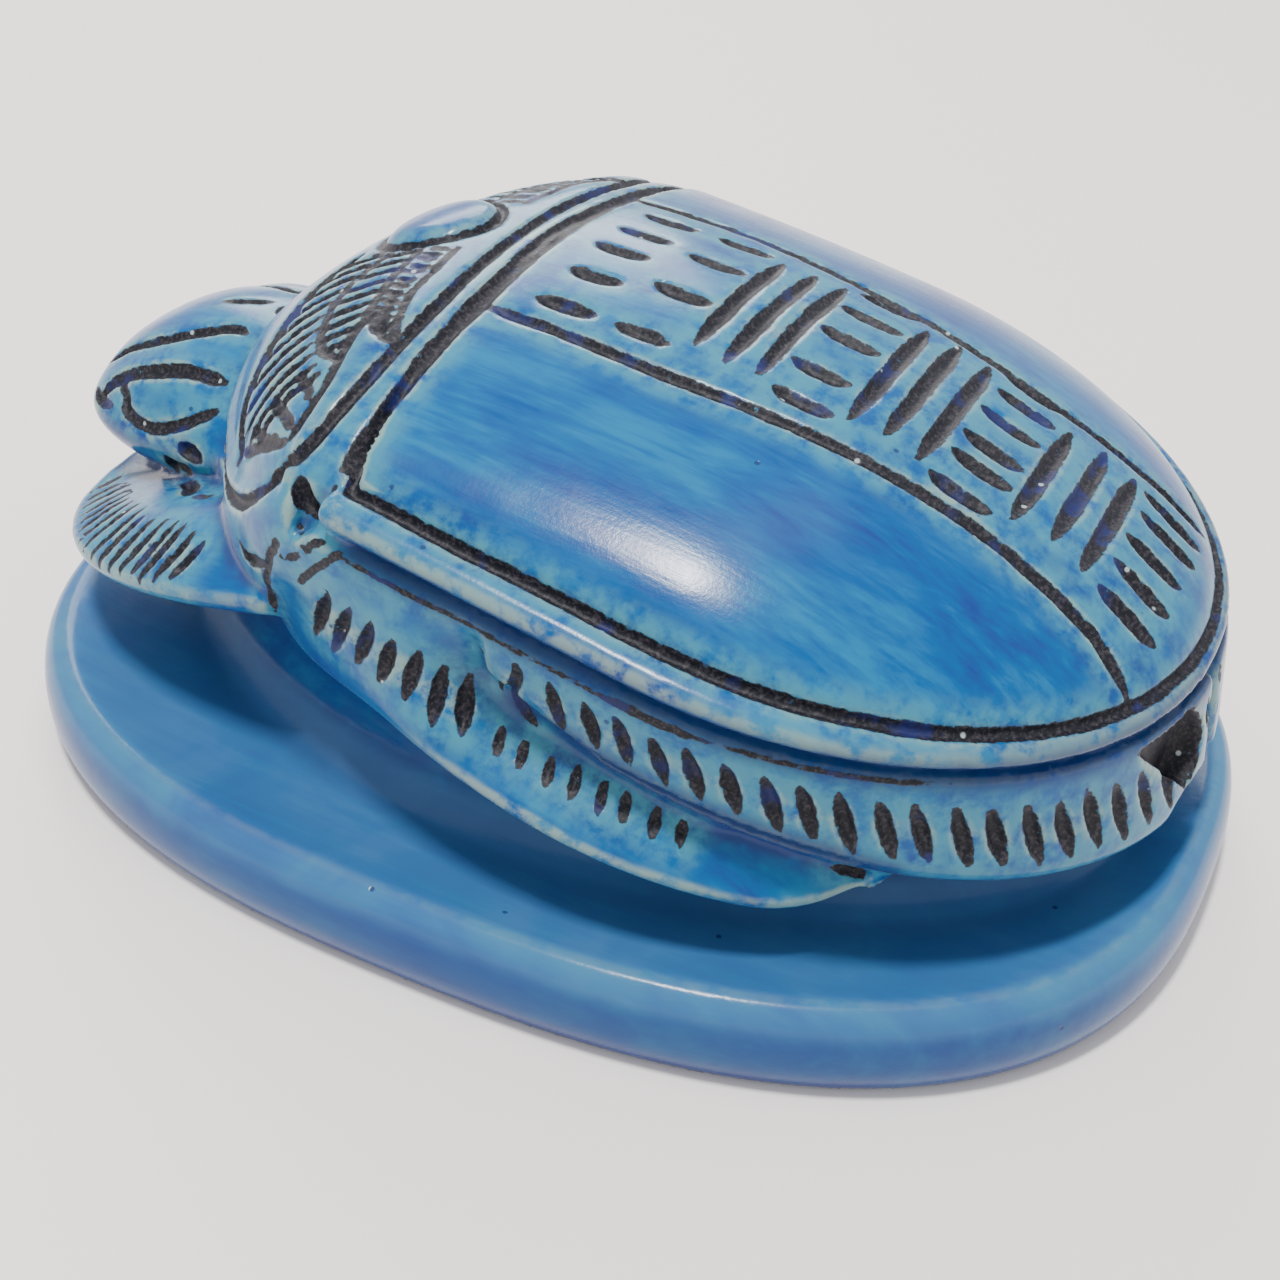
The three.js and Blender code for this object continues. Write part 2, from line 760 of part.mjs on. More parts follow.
function makeScarab() {
  const body = fuse([
    makeBase(),
    makeCore(),
    ...mirrored((side) => makeForeleg(side)),
    ...mirrored((side) => makeLeg(side, midFace, 13, 0.85)),
    ...mirrored((side) => makeLeg(side, hindFace, 15, 0.5)),
    makeBead(),
    makeWingCases(),
    makeCollar(),
    makeShield(),
    makeDisc(),
    makeHead(),
  ]);
  const cuts = [
    tailHollow(),
    ...mirrored(panelLine),
    ...panelStrokes(),
    ...mirrored(wingFeathers).flat(),
    ...mirrored(headLines).flat(),
    ...mirrored((side) => markRow(fanField, side, ribs)).flat(),
  ];
  for (const side of [1, -1]) {
    cuts.push(...notchRow(side, midFace, bigNotches));
    cuts.push(...notchRow(side, midFace, smallNotches));
    cuts.push(...notchRow(side, hindFace, hindNotches));
  }
  const carved = body.subtract(fuse(cuts));
  const { vertProperties, triVerts } = carved.getMesh();
  const geometry = new THREE.BufferGeometry();
  geometry.setAttribute('position', new THREE.BufferAttribute(vertProperties, 3));
  geometry.setIndex(new THREE.BufferAttribute(triVerts, 1));
  const scarab = new THREE.Mesh(geometry, glaze);
  scarab.name = 'scarab';
  return scarab;
}

const amulet = new THREE.Group();
amulet.add(makeScarab());

export default amulet;
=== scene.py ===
import math
import bpy
import numpy as np
from mathutils import Matrix, Vector
from mathutils.bvhtree import BVHTree
from mathutils.kdtree import KDTree


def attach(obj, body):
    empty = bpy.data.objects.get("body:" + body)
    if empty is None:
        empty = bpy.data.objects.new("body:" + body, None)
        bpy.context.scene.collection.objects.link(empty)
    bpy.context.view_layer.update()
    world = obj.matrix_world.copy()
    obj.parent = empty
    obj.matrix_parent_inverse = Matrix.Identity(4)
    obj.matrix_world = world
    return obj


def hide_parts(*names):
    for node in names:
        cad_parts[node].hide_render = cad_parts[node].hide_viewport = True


# A large glazed scarab on an oval base. Sizes are in millimetres, meshes are made in metres.
mm = 0.001

print("loading the frame")
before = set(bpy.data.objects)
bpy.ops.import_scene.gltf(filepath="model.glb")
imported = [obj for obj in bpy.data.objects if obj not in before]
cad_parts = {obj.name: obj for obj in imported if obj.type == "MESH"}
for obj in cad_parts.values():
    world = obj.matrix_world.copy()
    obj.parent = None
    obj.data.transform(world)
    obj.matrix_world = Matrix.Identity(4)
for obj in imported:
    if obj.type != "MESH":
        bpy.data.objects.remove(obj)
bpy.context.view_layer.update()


# Small helpers for shapes

def limit(value):
    return np.clip(value, 0.0, 1.0)


def mix(a, b, share):
    return a + (b - a) * share


def ease(value, low, high):
    share = limit((value - low) / (high - low))
    return share * share * (3 - 2 * share)


def roundOff(share, exponent):
    return (1 - limit(np.abs(share)) ** exponent) ** (1 / exponent)


def quarter(roundness, steps):  # the way out and the way along, for a quarter of a rounded outline
    angle = np.linspace(0, math.pi / 2, steps)
    return np.cos(angle) ** (2 / roundness), np.sin(angle) ** (2 / roundness)


def mirrorLoop(half):
    other = half[1:-1][::-1] * np.array([-1.0, 1.0])
    return np.vstack([half, other])


def stack(x, y, z):
    return np.stack(np.broadcast_arrays(x, y, z), axis=-1)


def withHeight(outline, z):
    return stack(outline[:, 0], outline[:, 1], z)


def fullTurn(steps):
    return np.linspace(0, 2 * math.pi, steps, endpoint=False)


def loft(rings, top=None):  # closed skin over rings of equal length, with a fan over each end
    rings = [np.asarray(r, float) for r in rings]
    size = len(rings[0])
    first = rings[0].mean(axis=0)
    last = rings[-1].mean(axis=0) if top is None else np.asarray(top, float)
    points = np.vstack(rings + [first[None], last[None]])
    ends = len(points) - 2, len(points) - 1
    faces = []
    for i in range(len(rings) - 1):
        for j in range(size):
            k = (j + 1) % size
            faces.append((i * size + j, i * size + k, (i + 1) * size + k, (i + 1) * size + j))
    start = (len(rings) - 1) * size
    for j in range(size):
        k = (j + 1) % size
        faces.append((k, j, ends[0]))
        faces.append((start + j, start + k, ends[1]))
    return points, faces


# The camera stands where the photographer's phone was

view = {"place": (110.2, 52.7, 98.6), "azimuth": 115.387, "elevation": 36.79, "roll": 3.686, "lens": 50.4}


def makeCamera():
    azimuth, elevation, roll = (math.radians(view[k]) for k in ("azimuth", "elevation", "roll"))
    across = math.cos(elevation)
    forward = Vector((-math.sin(azimuth) * across, math.cos(azimuth) * across, -math.sin(elevation)))
    flat = forward.cross(Vector((0, 0, 1))).normalized()
    rise = flat.cross(forward)
    right = flat * math.cos(roll) + rise * math.sin(roll)
    up = rise * math.cos(roll) - flat * math.sin(roll)
    data = bpy.data.cameras.new("camera")
    data.lens = view["lens"]
    data.sensor_width = 36
    data.clip_start = 0.005
    camera = bpy.data.objects.new("camera", data)
    turn = Matrix((right, up, -forward)).transposed().to_4x4()
    camera.matrix_world = Matrix.Translation(Vector(view["place"]) * mm) @ turn
    bpy.context.scene.collection.objects.link(camera)
    bpy.context.scene.camera = camera


makeCamera()


# Oval base with a rounded side and a shallow dish inside its crest

print("oval base")
base = {
    "length": 100.0, "width": 75.3, "squareness": 2.53, "taper": 0.052, "foot": 1.1, "bulge": 3.6,
    "crest": 7.75, "crestInset": 2.3, "dishDepth": 1.25, "dishInset": 9.0, "steps": 260,
    "sideCurve": 2.2, "crestCurve": (0.8, 0.9), "dishCurve": 2.2}


def baseOutline(inset):
    angle = fullTurn(base["steps"]) - math.pi / 2
    c, s = np.cos(angle), np.sin(angle)
    power = 2 / base["squareness"]
    along = np.sign(s) * np.abs(s) ** power
    across = np.sign(c) * np.abs(c) ** power * (1 - base["taper"] * along)
    return np.column_stack([across * (base["width"] / 2 - inset), along * (base["length"] / 2 - inset)])


def makeBase():
    floor = base["crest"] - base["dishDepth"]
    rings = []
    for share in np.linspace(0, 1, 7):  # side, from the foot to the widest line
        rings.append((base["foot"] * (1 - share) ** base["sideCurve"], base["bulge"] * share))
    inward, upward = base["crestCurve"]
    for share in np.linspace(0.12, 1, 10):  # rounded shoulder up to the crest
        turn = share * math.pi / 2
        inset = base["crestInset"] * (1 - math.cos(turn) ** inward)
        rings.append((inset, mix(base["bulge"], base["crest"], math.sin(turn) ** upward)))
    for share in np.linspace(0.1, 1, 10):  # concave slope down into the dish
        fall = 1 - (1 - share) ** base["dishCurve"]
        rings.append((mix(base["crestInset"], base["dishInset"], share), mix(base["crest"], floor, fall)))
    return loft([withHeight(baseOutline(inset), z) for inset, z in rings])


# Wing cases, a domed D in plan, with the bead around them

print("wing cases and bead")
case = {
    "halfWidth": 27.9, "front": 8.5, "shoulder": 14.1, "tail": 44.5, "roundness": 2.05, "dome": 9.9,
    "sag": 4.1e-4, "sharpness": 1.6, "border": 32.8, "slope": 0.175, "bow": 9e-4, "floor": 17.0}
bead = {
    "reach": 2.7, "tailReach": 1.2, "drop": 3.9, "tailShare": 0.6, "fallFrom": 8.0, "overlap": 0.2,
    "profile": [(-2, -4.1), (1.3, -4.0), (1.35, -3.4), (1.5, -2.9), (1.85, -2.35), (2.4, -1.85), (2.7, -1.3),
                (2.65, -0.75), (2.1, -0.25), (1.4, 0.05), (0.7, 0.0), (-0.6, -0.1)]}


def borderZ(y):
    return case["border"] - case["slope"] * y


def caseHalfOutline(reach=0.0, front=None, steps=60):
    front = case["front"] if front is None else front
    halfWidth = case["halfWidth"] + reach
    x = np.linspace(0, halfWidth, 24)
    ahead = np.column_stack([x, -front - case["bow"] * x * x])
    y = np.linspace(ahead[-1, 1], case["shoulder"], 24)[1:-1]
    beside = np.column_stack([np.full(len(y), halfWidth), y])
    out, along = quarter(case["roundness"], steps)
    tail = case["tail"] + reach * bead["tailReach"] / bead["reach"] - case["shoulder"]
    around = np.column_stack([out * halfWidth, case["shoulder"] + along * tail])
    around[-1, 0] = 0
    return np.vstack([ahead, beside, around])


def caseTop(x, y):
    along = limit((y - case["shoulder"]) / (case["tail"] - case["shoulder"]))
    across = limit(np.abs(x) / case["halfWidth"])
    n = case["roundness"]
    reach = limit((across ** n + along ** n) ** (1 / n))
    ahead = np.maximum(case["shoulder"] - y, 0)
    dome = case["dome"] * (1 - case["sag"] * ahead * ahead)
    return borderZ(y) + dome * roundOff(reach, case["sharpness"])


def domeOver(outline, middle, height, floor, count=30):
    middle = np.array(middle, float)
    rings = [withHeight(outline, floor)]
    for share in np.cos(np.linspace(0, 0.49 * math.pi, count)):
        spot = middle + (outline - middle) * share
        rings.append(withHeight(spot, height(spot[:, 0], spot[:, 1])))
    return loft(rings, top=(*middle, float(height(middle[0], middle[1]))))


def makeCases():
    return domeOver(mirrorLoop(caseHalfOutline()), (0, case["shoulder"]), caseTop, case["floor"], 40)


def rimAround(outlineAt, levelAt, profile):  # profile rows are the way out and the height over the level
    rings = []
    for out, rise in profile:
        outline = outlineAt(out)
        high = levelAt(outline[:, 0], outline[:, 1])
        rings.append(withHeight(outline, high + (rise(outline) if callable(rise) else rise)))
    return loft(rings)


def beadShare(y):  # the bead gets lower towards the tail
    return mix(1.0, bead["tailShare"], ease(y, bead["fallFrom"], case["tail"]))


def makeBead():
    def outlineAt(out):
        return mirrorLoop(caseHalfOutline(out, case["front"] + bead["overlap"]))
    profile = []
    for out, rise in bead["profile"]:
        profile.append((out, lambda outline, rise=rise: rise * beadShare(outline[:, 1])))
    return rimAround(outlineAt, lambda x, y: borderZ(y), profile)


# Shield with the winged disc, and the collar behind it

print("shield, disc and collar")
shield = {
    "halfWidth": 27.6, "rear": 12.5, "front": 32.8, "roundness": 1.65, "crown": 41.6, "frontLevel": 30.5,
    "cornerLevel": 33.4, "sideDrop": 5.2, "rim": 0.7, "frontRim": 0.45, "rimDrop": 3.4, "flankDrop": 9.0,
    "flankFront": 29.5, "flankRear": 24.0, "middle": -17.5, "floor": 22.0, "fall": 1.9, "flatness": 2.2,
    "profile": [(-1.9, 1), (0.9, 0.97), (1.5, 0.8), (1.9, 0.6), (1.95, 0.42), (1.75, 0.26), (1.35, 0.13),
                (0.8, 0.04), (0.2, 0)]}
collar = {"rows": (-11.2, -10), "overShield": 1, "overCases": 0.6, "floor": 22, "sink": 0.1}
disc = {
    "radius": 4.2, "rise": 0.9, "place": 18.9,
    "profile": [(1, -1.5), (1, 0.1), (0.97, 0.4), (0.88, 0.75), (0.7, 0.95), (0.4, 1.05), (0.1, 1.1)]}


def shieldHalfOutline(reach=0.0):
    along, out = quarter(shield["roundness"], 60)
    halfWidth = shield["halfWidth"] + reach
    length = shield["front"] - shield["rear"] + reach * shield["frontRim"]
    front = np.column_stack([out * halfWidth, -shield["rear"] - along * length])
    front[0, 0] = 0
    back = np.linspace(1, 0, 30)[1:]
    return np.vstack([front, np.column_stack([back * halfWidth, np.full(len(back), -shield["rear"])])])


def shieldShare(y):
    return limit((-y - shield["rear"]) / (shield["front"] - shield["rear"]))


def shieldEdge(y):
    share = shieldShare(y)
    side = shield["cornerLevel"] - shield["sideDrop"] * limit(share * 2)
    return mix(side, shield["frontLevel"], limit(share * 2 - 1) ** 2)


def shieldTop(x, y):
    share = shieldShare(y)
    crown = mix(shield["crown"], shield["frontLevel"], share ** shield["fall"])
    halfWidth = np.maximum(shield["halfWidth"] * roundOff(share, shield["roundness"]), 0.01)
    across = limit(np.abs(x) / halfWidth)
    edge = shieldEdge(y)
    return edge + (crown - edge) * (1 - across ** shield["flatness"]) ** (1 / case["sharpness"])


def flankDrop(outline):  # the rim is a shallow lip in front and a high smooth shoulder at the sides
    share = ease(outline[:, 1], -shield["flankFront"], -shield["flankRear"])
    return mix(shield["rimDrop"], shield["flankDrop"], share)


def makeShield():
    plate = domeOver(mirrorLoop(shieldHalfOutline()), (0, shield["middle"]), shieldTop, shield["floor"], 36)

    def outlineAt(out):
        return mirrorLoop(shieldHalfOutline(max(out, -shield["rim"])))
    profile = []
    for out, share in shield["profile"]:
        profile.append((out, lambda outline, share=share: -share * flankDrop(outline)))
    return [plate, rimAround(outlineAt, lambda x, y: shieldEdge(y), profile)]


def collarTop(x, y):
    share = limit((-y - case["front"]) / (shield["rear"] - case["front"]))
    return mix(caseTop(x, -case["front"]), shieldTop(x, -shield["rear"]), share)


def makeCollar():
    x = np.linspace(case["halfWidth"], -case["halfWidth"], 90)
    rings = []
    for y in (-shield["rear"] - collar["overShield"], -shield["rear"], *collar["rows"], -case["front"],
              -case["front"] + collar["overCases"]):
        z = collarTop(x, y)
        back = y - case["bow"] * x * x
        top = stack(x, back, z - collar["sink"])
        rings.append(np.vstack([[[-x[0], y, collar["floor"]], [x[0], y, collar["floor"]]], top]))
    return loft(rings)


def makeDisc():
    rings = []
    angle = fullTurn(48)
    for radius, rise in disc["profile"]:
        x = np.cos(angle) * disc["radius"] * radius
        y = -disc["place"] + np.sin(angle) * disc["radius"] * radius
        rings.append(stack(x, y, shieldTop(x, y) + disc["rise"] * rise))
    return loft(rings)


# Head with two almond eyes

print("head")
head = {
    "halfWidth": 13.4, "tip": 50.0, "rear": 30.0, "roundness": 4.0, "rearLevel": 28.8, "tipLevel": 23.0,
    "sideLevel": 20.6, "underside": 14.0, "undercut": 6, "overlap": 5, "fall": 3, "flatness": 0.7}
eye = {"x": 9.4, "y": -40.6, "halfLength": 6.4, "halfWidth": 2.2, "rise": 0.5}


def headTop(x, y):
    share = limit((-y - head["rear"]) / (head["tip"] - head["rear"]))
    crown = mix(head["rearLevel"], head["tipLevel"], share ** head["fall"])
    halfWidth = np.maximum(head["halfWidth"] * roundOff(share, head["roundness"]), 0.01)
    across = limit(np.abs(x) / halfWidth)
    top = head["sideLevel"] + (crown - head["sideLevel"]) * (1 - across ** 2) ** head["flatness"]
    fromEye = ((np.abs(x) - eye["x"]) / eye["halfWidth"]) ** 2 + ((y - eye["y"]) / eye["halfLength"]) ** 2
    return top + eye["rise"] * limit(1 - fromEye)


def headOutline(inset=0.0):
    along, out = quarter(head["roundness"], 50)
    x = out * (head["halfWidth"] - inset)
    y = -head["rear"] - along * (head["tip"] - head["rear"] - inset)
    x[0] = 0
    rear = -head["rear"] + head["overlap"]
    sides = [[head["halfWidth"] - inset, rear], [0, rear]]
    return mirrorLoop(np.vstack([np.column_stack([x, y]), sides]))


def makeHead():
    rings = []
    for share in np.linspace(0, 1, 10):
        inset = head["undercut"] * (1 - share) ** 1.7
        rings.append(withHeight(headOutline(inset), mix(head["underside"], head["sideLevel"] - 0.3, share)))
    outline = headOutline()
    for share in np.cos(np.linspace(0, 0.48 * math.pi, 26)):
        x, y = outline[:, 0] * share, mix(-head["rear"], outline[:, 1], share)
        rings.append(stack(x, y, headTop(x, y)))
    return loft(rings)


# Forelegs, spread like ribbed fans beside the head

print("legs")
fan = {
    "inside": 6.0, "halfWidth": 27.8, "rear": 17.0, "front": 47.2, "roundness": 2.5, "frontLevel": 14.4,
    "rearLevel": 22.0, "shoulderX": 22.5, "shoulderY": 19.0, "shoulderLevel": 27.4,
    "wide": 22.0, "long": 30.0, "slope": 1.1, "sharpness": 5, "overlap": 3,
    "under": [(9, 6.4), (4.5, 3.6), (2.2, 2.5), (1.0, 2.1), (0.3, 1.5), (0, 0.8)]}


def fanEdge(y):
    share = limit((y + fan["front"]) / (fan["front"] - fan["rear"]))
    return mix(fan["frontLevel"], fan["rearLevel"], share ** fan["slope"])


def fanOutline(side, inset=0.0):
    along, out = quarter(fan["roundness"], 50)
    x = fan["inside"] + out * (fan["halfWidth"] - fan["inside"] - inset)
    y = -fan["rear"] - along * (fan["front"] - fan["rear"] - inset)
    rear = -fan["rear"] + fan["overlap"]
    ends = [[fan["halfWidth"] - fan["overlap"], rear], [fan["inside"], rear]]
    return np.vstack([np.column_stack([x, y]), ends]) * [side, 1]


def fanTop(x, y):
    across = limit((np.abs(x) - fan["inside"]) / (fan["halfWidth"] - fan["inside"]))
    along = limit((-y - fan["rear"]) / (fan["front"] - fan["rear"]))
    n = fan["roundness"]
    toEdge = limit((across ** n + along ** n) ** (1 / n))
    away = np.hypot((np.abs(x) - fan["shoulderX"]) / fan["wide"], (y + fan["shoulderY"]) / fan["long"])
    crown = mix(fan["shoulderLevel"], fan["frontLevel"], limit(away))
    return mix(crown, fanEdge(y), toEdge ** fan["sharpness"])


def makeForeleg(side):
    rings = []
    for inset, drop in fan["under"]:
        outline = fanOutline(side, inset)
        rings.append(withHeight(outline, fanEdge(outline[:, 1]) - drop))
    outline = fanOutline(side)
    centre = np.array([side * fan["shoulderX"], -fan["shoulderY"]])
    for share in np.cos(np.linspace(0.1, 0.48 * math.pi, 26)):
        spot = centre + (outline - centre) * share
        rings.append(withHeight(spot, fanTop(spot[:, 0], spot[:, 1])))
    return loft(rings)


# Middle and hind legs, folded along the sides, each with a bevelled lower edge

mid = {
    "halfWidth": 32.3, "centre": 8.0, "front": 18.0, "frontReach": 39.6, "rearReach": 33.0, "tip": 31.0,
    "drop": 15.1, "extraSlope": 0.04, "frontDrop": 3.6, "frontFrom": 4.0, "frontTo": 19.0,
    "shoulderFrom": 9.5, "shoulderDrop": 0.62, "bendStart": -4.0, "bendEnd": 6.0}
hind = {"halfWidth": 29.5, "tail": 47.3, "start": 3.0, "drop": 9.5, "tailDrop": 10.2, "reach": 0.985}
leg = {
    "ledge": 2.1, "tailLedge": 1.5, "ledgeDrop": 0.95, "curl": 1.2, "curlFrom": 13.0, "run": 15,
    "mergeFrom": 12.0, "merge": (-0.2, 0.6), "behind": 2.4, "within": [(6, 2), (0.7, 0.35)],
    "face": (0, 0.17, 0.33, 0.5, 0.62, 0.75, 0.88), "below": [(0.15, 0.6), (0.7, 1.2), (3.5, 3.0), (8, 4.7)]}


def midPath(share):
    start = -math.asin((mid["centre"] + mid["front"]) / mid["frontReach"])
    end = math.asin((mid["tip"] - mid["centre"]) / mid["rearReach"])
    angle = mix(start, end, share)
    length = np.where(angle < 0, mid["frontReach"], mid["rearReach"])
    return np.cos(angle) * mid["halfWidth"], mid["centre"] + np.sin(angle) * length


def hindPath(share):
    first, last = -0.3, hind["reach"] * math.pi / 2
    angle = mix(first, last, share)
    power = 2 / case["roundness"]
    turn = np.maximum(angle, 0)
    along = np.sin(turn) ** power * (hind["tail"] - case["shoulder"])
    before = np.minimum(angle, 0) / -first * (case["shoulder"] - hind["start"])
    return np.cos(turn) ** power * hind["halfWidth"], case["shoulder"] + along + before


def tuckUnder(x, y):  # outline point of the wing cases beside a point of a leg
    n = case["roundness"]
    along = np.maximum(y - case["shoulder"], 0) / (case["tail"] - case["shoulder"])
    across = x / case["halfWidth"]
    reach = (across ** n + along ** n) ** (1 / n)
    ahead = y < case["shoulder"]
    return (np.where(ahead, case["halfWidth"], x / reach),
            np.where(ahead, y, case["shoulder"] + (y - case["shoulder"]) / reach))


def ledgeOf(x, y):  # upper edge of a leg, a small ledge under the bead
    tx, ty = tuckUnder(x, y)
    behind = np.maximum(ty - case["shoulder"], 0)
    out = mix(leg["ledge"], leg["tailLedge"], ease(ty, case["shoulder"], case["tail"])) / np.hypot(tx, behind)
    level = borderZ(ty) - bead["drop"] * leg["ledgeDrop"] * beadShare(ty)
    return stack(tx * (1 + out), ty + behind * out, level)


def hindLevel(y):
    return borderZ(y) - mix(hind["drop"], hind["tailDrop"], ease(y, case["shoulder"], case["tail"]))


def hindFace(share, v):  # v runs from 0 at the upper edge to 1 at the lower edge
    x, y = hindPath(share)
    return mix(ledgeOf(x, y), stack(x, y, hindLevel(y)), np.asarray(v)[..., None])


def midFace(share, v):
    x, y = midPath(share)
    tx, ty = tuckUnder(x, y)
    v = np.asarray(v)[..., None]
    ahead = mid["frontDrop"] * ease(-y, mid["frontFrom"], mid["frontTo"])
    low = stack(x, y, borderZ(y) - mid["drop"] - mid["extraSlope"] * y - ahead)
    shoulder = mid["shoulderDrop"] * ease(-y, mid["shoulderFrom"], mid["frontTo"])
    high = mix(ledgeOf(x, y), low, shoulder[..., None])
    behind = stack(tx - leg["behind"], ty, hindLevel(ty) - 1.0)
    knee = mix((high + low) / 2, behind, ease(y, mid["bendStart"], mid["bendEnd"])[..., None])
    return np.where(v < 0.5, mix(high, knee, v * 2), mix(knee, low, v * 2 - 1))


def inward(points, distance, rise):
    scale = 1 - distance / np.hypot(points[..., 0], points[..., 1])
    return points * scale[..., None] * [1, 1, 0] + points * [0, 0, 1] + [0, 0, rise]


def underHindLeg(points):
    tx, ty = tuckUnder(points[:, 0], points[:, 1])
    return stack(tx + leg["merge"][0], ty, hindLevel(ty) + leg["merge"][1])


def makeLeg(side, face, frontReach, mergeInto=None, stations=110):  # the rear end may run under a leg
    share = np.linspace(0, 1, stations)
    run = share * leg["run"]
    reach = np.minimum(1, frontReach + run * 0.25)
    curl = leg["curl"] * np.maximum(0, run - leg["curlFrom"]) ** 2 * (0 if mergeInto else 1)
    columns = [inward(face(share, share * 0), distance, rise) for distance, rise in leg["within"]]
    columns += [face(share, reach * v) for v in leg["face"]]
    low = face(share, reach)
    if mergeInto is not None:
        late = limit((run - leg["mergeFrom"]) / (leg["run"] - leg["mergeFrom"]))
        low = mix(low, mergeInto(low), (1 - np.sqrt(1 - late * late))[:, None])
    scale = 1 - curl / np.hypot(low[:, 0], low[:, 1])
    low = low * np.column_stack([scale, scale, np.ones(stations)])
    columns += [low] + [inward(low, distance, -drop) for distance, drop in leg["below"]]
    rings = np.stack(columns, axis=1) * [side, 1, 1]
    return loft(list(rings))


core = {
    "halfWidth": 24.0, "front": 37.0, "tail": 40.0,
    "profile": [(4.2, 4.5), (4.2, 6.3), (2.4, 7.3), (1.0, 9.0), (0.2, 11.5), (0.3, 14), (1, 17), (1, 22.0)]}


def makeCore():
    angle = fullTurn(120)
    rings = []
    for out, z in core["profile"]:
        length = np.where(np.sin(angle) < 0, core["front"], core["tail"]) + out
        rings.append(stack(np.cos(angle) * (core["halfWidth"] + out), np.sin(angle) * length, z))
    return loft(rings)


# All shells become one skin, and its creases soften as in a pressed mould

body = {"voxel": 0.32, "soften": 5, "flatBelow": 0.12}


def meshFrom(name, shells):
    points, faces, offset = [], [], 0
    for shellPoints, shellFaces in shells:
        points.append(shellPoints)
        faces += [tuple(i + offset for i in face) for face in shellFaces]
        offset += len(shellPoints)
    mesh = bpy.data.meshes.new(name)
    mesh.from_pydata((np.vstack(points) * mm).tolist(), [], faces)
    mesh.update()
    return mesh


def addObject(name, mesh):
    made = bpy.data.objects.new(name, mesh)
    bpy.context.scene.collection.objects.link(made)
    return made


def applied(made):  # plain mesh of what the modifiers make
    bpy.context.view_layer.update()
    graph = bpy.context.evaluated_depsgraph_get()
    mesh = bpy.data.meshes.new_from_object(made.evaluated_get(graph))
    made.modifiers.clear()
    made.data = mesh
    return mesh


def fuseSkin(made, voxel):
    remesh = made.modifiers.new("fuse", "REMESH")
    remesh.mode = "VOXEL"
    remesh.voxel_size = voxel * mm
    remesh.use_smooth_shade = True
    return applied(made)


def readValues(items, name, width, kind=np.float32):
    values = np.empty(len(items) * width, kind)
    items.foreach_get(name, values)
    return values.reshape(-1, width)


def readPoints(mesh):
    return readValues(mesh.vertices, "co", 3).astype(float)


def neighbourMean(values, edges, count):
    a, b = edges[:, 0], edges[:, 1]
    total = np.zeros_like(values)
    for axis in range(values.shape[1]):
        ahead, back = (np.bincount(p, values[q, axis], len(values)) for p, q in ((a, b), (b, a)))
        total[:, axis] = ahead + back
    return total / count[:, None]


def relax(points, edges, rounds, factor=0.5):
    count = np.maximum(np.bincount(edges.ravel(), minlength=len(points)), 1).astype(float)
    for _ in range(rounds):
        points = points + (neighbourMean(points, edges, count) - points) * factor
    return points


def softenMesh(mesh, rounds):
    points = relax(readPoints(mesh), readValues(mesh.edges, "vertices", 2, np.int32), rounds)
    points[:, 2] = np.maximum(points[:, 2], 0)
    points[points[:, 2] < body["flatBelow"] * mm, 2] = 0
    mesh.vertices.foreach_set("co", points.astype(np.float32).ravel())
    mesh.update()


print("joining the skin")
shells = [makeBase(), makeCore(), makeCases(), makeBead(), *makeShield(), makeCollar(), makeDisc()]
shells.append(makeHead())
for side in (1, -1):
    shells += [makeForeleg(side), makeLeg(side, midFace, 0.92, underHindLeg), makeLeg(side, hindFace, 0.5)]
scarab = addObject("glazedScarab", meshFrom("glazedScarab", shells))
fuseSkin(scarab, body["voxel"])
softenMesh(scarab.data, body["soften"])
print("skin has", len(scarab.data.vertices), "points")


# Guides for the carving: lines on or just off the skin, with a width in millimetres at each point

print("guides")


def smoothLine(points, step=0.5):
    p = np.asarray(points, float)
    p = np.vstack([2 * p[0] - p[1], p, 2 * p[-1] - p[-2]])
    spots = []
    for a, b, c, d in zip(p[:-3], p[1:-2], p[2:-1], p[3:]):
        count = max(2, int(np.linalg.norm(c - b) / step))
        for t in np.arange(count) / count:
            spots.append(0.5 * (2 * b + (c - a) * t + (2 * a - 5 * b + 4 * c - d) * t * t
                                + (3 * b - a - 3 * c + d) * t ** 3))
    return np.array(spots + [p[-2]])


def pathLength(points):
    return np.concatenate([[0], np.cumsum(np.linalg.norm(np.diff(points, axis=0), axis=1))])


def over(height, points, lift=0.3):  # plan points raised onto a surface
    p = np.asarray(points, float)
    return stack(p[:, 0], p[:, 1], height(p[:, 0], p[:, 1]) + lift)


def mirrored(points):
    return np.asarray(points, float) * [-1, 1, 1]


endWidth = 0.3  # share of the width left at the pointed ends of a line


def stroke(points, width, taper=1.2):  # taper is the length of the pointed ends
    spots = smoothLine(points)
    run = pathLength(spots)
    toEnd = np.minimum(run, run[-1] - run)
    swell = width * (endWidth + (1 - endWidth) * ease(toEnd, -0.01, taper))
    return spots, swell


def ring(points, width):
    spots = np.asarray(points, float)
    return np.vstack([spots, spots[:1]]), np.full(len(spots) + 1, float(width))


def guideObject(name, lines):
    points, edges, swell = [], [], []
    for spots, widths in lines:
        start = len(points)
        points += [tuple(p * mm) for p in spots]
        edges += [(start + i, start + i + 1) for i in range(len(spots) - 1)]
        swell += list(widths)
    mesh = bpy.data.meshes.new(name)
    mesh.from_pydata(points, edges, [])
    mesh.attributes.new("swell", "FLOAT", "POINT").data.foreach_set("value", np.array(swell, np.float32))
    return addObject(name, mesh)


# Lines of the back: the border, the long lines of the panel and the loop round the shield

